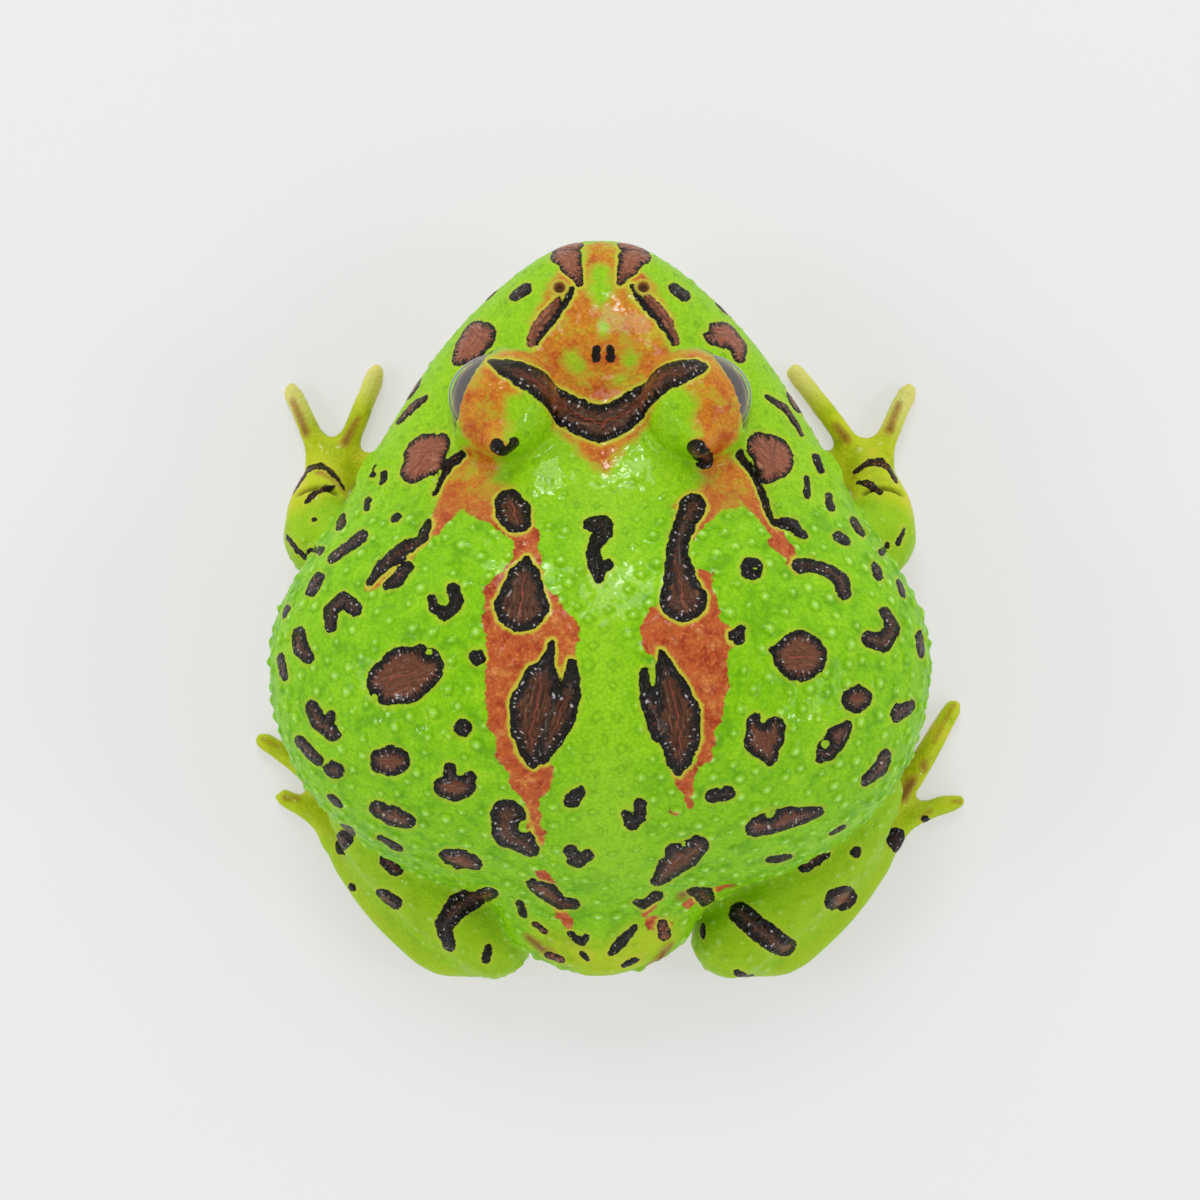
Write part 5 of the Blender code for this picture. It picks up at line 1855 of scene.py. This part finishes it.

# %% [markdown]
# ## The eye ball
#
# The pupil and the rings are drawn from two distances kept on the ball: along the pupil and across it. The
# net of the iris is noise that is finer round the pupil, and the part under the upper lid is painted darker,
# as painted shade of the lid.

# %% Eye ball material
PUPIL_LONG = 2.15
PUPIL_HIGH = 1.25
LID_SHADE = (0.3, 2.0, 0.0, 0.92)
BRONZE_TONES = {"Dark": tint(92, 62, 28), "Middle": tint(160, 116, 52), "Light": tint(206, 168, 92)}
SLATE_TONES = {"Dark": tint(44, 45, 50), "Middle": tint(66, 67, 72), "Light": tint(92, 93, 96)}
NET_BROWN, STRIPE_BROWN, RING_GOLD = tint(46, 30, 20), tint(70, 40, 24), tint(214, 176, 96)
PUPIL_BLACK, SHADE_SLATE = tint(8, 8, 9), tint(48, 49, 56)
PUPIL_EDGE = 0.9, 1.05, 1.0, 0.0
RING_EDGE = 1.05, 1.6, 1.0, 0.0
NET_EDGE = 0.0, 0.16, 0.75, 0.0
STRIPE_EDGE = 0.3, 1.5, 0.55, 0.0
IRIS_EDGE = IRIS_ANGLE - 5, IRIS_ANGLE + 2

eye_material, tree, output = new_material("eye ball")
where = millimetres(tree)
level = attribute(tree, "level")
upward_place = attribute(tree, "upward")
angle = attribute(tree, "angle")
along = worked_out(tree, worked_out(tree, level, PUPIL_LONG, "DIVIDE"), 2.0, "POWER")
across = worked_out(tree, worked_out(tree, upward_place, PUPIL_HIGH, "DIVIDE"), 2.0, "POWER")
pupil_size = sum_of(tree, along, across)
pupil_mask = stretched(tree, pupil_size, *PUPIL_EDGE)
gold_ring = stretched(tree, pupil_size, *RING_EDGE)
net = cells(tree, where, 2.6, feature="DISTANCE_TO_EDGE")
net_share = stretched(tree, net.outputs["Distance"], *NET_EDGE)
bronze = use(tree, mottle, {"Where": where, "Size": 1.6, **BRONZE_TONES})
iris = mixed(tree, net_share, bronze.outputs["Colour"], NET_BROWN)
stripe = stretched(tree, without_sign(tree, upward_place), *STRIPE_EDGE)
iris = mixed(tree, stripe, iris, STRIPE_BROWN)
iris = mixed(tree, gold_ring, iris, RING_GOLD)
iris = mixed(tree, pupil_mask, iris, PUPIL_BLACK)
slate = use(tree, mottle, {"Where": where, "Size": 0.8, **SLATE_TONES})
side_share = stretched(tree, angle, *IRIS_EDGE)
eye_colour = mixed(tree, side_share, iris, slate.outputs["Colour"])
# Painted shade of the upper lid on the top of the eye ball.
lid_shade = stretched(tree, upward_place, *LID_SHADE)
eye_colour = mixed(tree, lid_shade, eye_colour, SHADE_SLATE)
eye_surface = put(tree, "ShaderNodeBsdfPrincipled", {"Base Color": eye_colour, "Roughness": 0.45})
tree.links.new(eye_surface.outputs["BSDF"], output.inputs["Surface"])
print("eye ball nodes:", len(tree.nodes))

# %% [markdown]
# ## The cornea
#
# The cornea is clear where it is seen straight on. Where it turns away, a real cornea bends the light so
# much that only dusk is seen in it; here that dusk is painted shade, and its very edge carries a painted
# reflection, pale with the light of its surroundings.

# %% Cornea material, and the eyes in their places
DUSK, EDGE_REFLECTION = tint(72, 73, 80), tint(214, 215, 216)
EDGE_RANGE = 0.80, 0.94
DIM_RANGE = 0.58, 0.80
TEAR_IOR = 1.38
MOST_SHINE = 0.25

cornea_material, tree, output = new_material("cornea")
clear = put(tree, "ShaderNodeBsdfTransparent", {"Color": WHITE})
turned = put(tree, "ShaderNodeLayerWeight", {"Blend": 0.5}).outputs["Facing"]
outside = less(tree, 1.0, put(tree, "ShaderNodeNewGeometry").outputs["Backfacing"])
# Painted shade where the cornea turns away, and a painted reflection at its very edge.
dusk_colour = mixed(tree, stretched(tree, turned, *EDGE_RANGE), DUSK, EDGE_REFLECTION)
dusk_inputs = {"Base Color": dusk_colour, "Roughness": 0.5, "Specular IOR Level": 0.1}
dusk = put(tree, "ShaderNodeBsdfPrincipled", dusk_inputs)
mirror = put(tree, "ShaderNodeBsdfGlossy", {"Color": WHITE, "Roughness": 0.04})
dim = times(tree, stretched(tree, turned, *DIM_RANGE), outside)
mirror_share = put(tree, "ShaderNodeFresnel", {"IOR": TEAR_IOR}).outputs[0]
shine = worked_out(tree, mirror_share, MOST_SHINE, "MINIMUM")
shine = times(tree, shine, outside)
inner = put(tree, "ShaderNodeMixShader", {0: dim, 1: clear.outputs[0], 2: dusk.outputs["BSDF"]})
both = put(tree, "ShaderNodeMixShader", {0: shine, 1: inner.outputs[0], 2: mirror.outputs[0]})
tree.links.new(both.outputs[0], output.inputs["Surface"])
for side in SIDES:
    globes[side].data.materials.append(eye_material)
    corneas[side].data.materials.append(cornea_material)
    for piece in (globes[side], corneas[side]):
        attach(piece, "root")
        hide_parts(side + "_eye")
print("cornea nodes:", len(tree.nodes))

# %% [markdown]
# ## Floor and sky
#
# The frog sits on a plain pale floor. It gives off half of its brightness itself, as a lit table does, which
# keeps the shadows on it faint. The sky is soft and nearly even, and darker overhead, so that it doesn't lie
# on the wet marks as a grey veil.

# %% Make the floor and the sky
FLOOR_HALF = 1.5
FLOOR_GLOW = 0.41
FLOOR_GREY, FLOOR_PALE = tint(175, 175, 175), tint(178, 178, 178)
SKY_LOW = 1.12
SKY_TOP = 0.42
SKY_RANGE = 0.35, 0.95

floor_mesh = bmesh.new()
bmesh.ops.create_grid(floor_mesh, x_segments=1, y_segments=1, size=FLOOR_HALF)
floor = object_from(floor_mesh, "floor")
floor_material, tree, output = new_material("pale floor")
tone = noise(tree, millimetres(tree), 0.01, 2.0)
floor_colour = mixed(tree, tone, FLOOR_GREY, FLOOR_PALE)
floor_inputs = {
    "Base Color": floor_colour,
    "Roughness": 0.9,
    "Specular IOR Level": 0.1,
    "Emission Color": WHITE,
    "Emission Strength": FLOOR_GLOW,
}
floor_surface = put(tree, "ShaderNodeBsdfPrincipled", floor_inputs)
tree.links.new(floor_surface.outputs["BSDF"], output.inputs["Surface"])
floor.data.materials.append(floor_material)

world = bpy.data.worlds.new("soft sky")
world.use_nodes = True
tree = world.node_tree
towards = put(tree, "ShaderNodeTexCoord").outputs["Generated"]
overhead = put(tree, "ShaderNodeSeparateXYZ", {0: towards}).outputs["Z"]
brightness = stretched(tree, overhead, *SKY_RANGE, SKY_LOW, SKY_TOP)
tree.links.new(brightness, tree.nodes["Background"].inputs["Strength"])
tree.nodes["Background"].inputs["Color"].default_value = WHITE
bpy.context.scene.world = world
print("floor side in metres:", 2 * FLOOR_HALF)

# %% [markdown]
# ## Lamps
#
# One broad lamp stands beyond the snout and a weaker one at each side. Three small lamps give only the
# bright glints of wet skin, so they are kept out of the diffuse light.

# %% Place the lamps
BROAD_LAMPS = {
    "key lamp": ((150, -1050, 1250), 0.50, 6.0),
    "left lamp": ((1250, 0, 950), 0.40, 2.2),
    "right lamp": ((-1250, 120, 950), 0.40, 2.2),
}
GLINT_LAMPS = {
    "front glint lamp": ((180, -1400, 1250), 0.14, 3.2),
    "left glint lamp": ((1250, 700, 1150), 0.14, 2.5),
    "right glint lamp": ((-1300, 600, 1150), 0.14, 2.5),
}
AIM = (0, 45, 10)


def add_lamp(name, spot, size, power):
    """A round lamp at a place in millimetres, aimed at the frog."""
    data = bpy.data.lights.new(name, "AREA")
    data.shape = "DISK"
    data.size = size
    data.energy = power
    lamp = bpy.data.objects.new(name, data)
    lamp.location = place(*spot)
    lamp.rotation_euler = (place(*AIM) - lamp.location).to_track_quat("-Z", "Y").to_euler()
    bpy.context.scene.collection.objects.link(lamp)
    return lamp


for name, lamp_numbers in BROAD_LAMPS.items():
    add_lamp(name, *lamp_numbers)
for name, lamp_numbers in GLINT_LAMPS.items():
    glint_lamp = add_lamp(name, *lamp_numbers)
    glint_lamp.visible_diffuse = False
bpy.context.scene.view_settings.view_transform = "Standard"
print("lamps:", *BROAD_LAMPS, *GLINT_LAMPS)
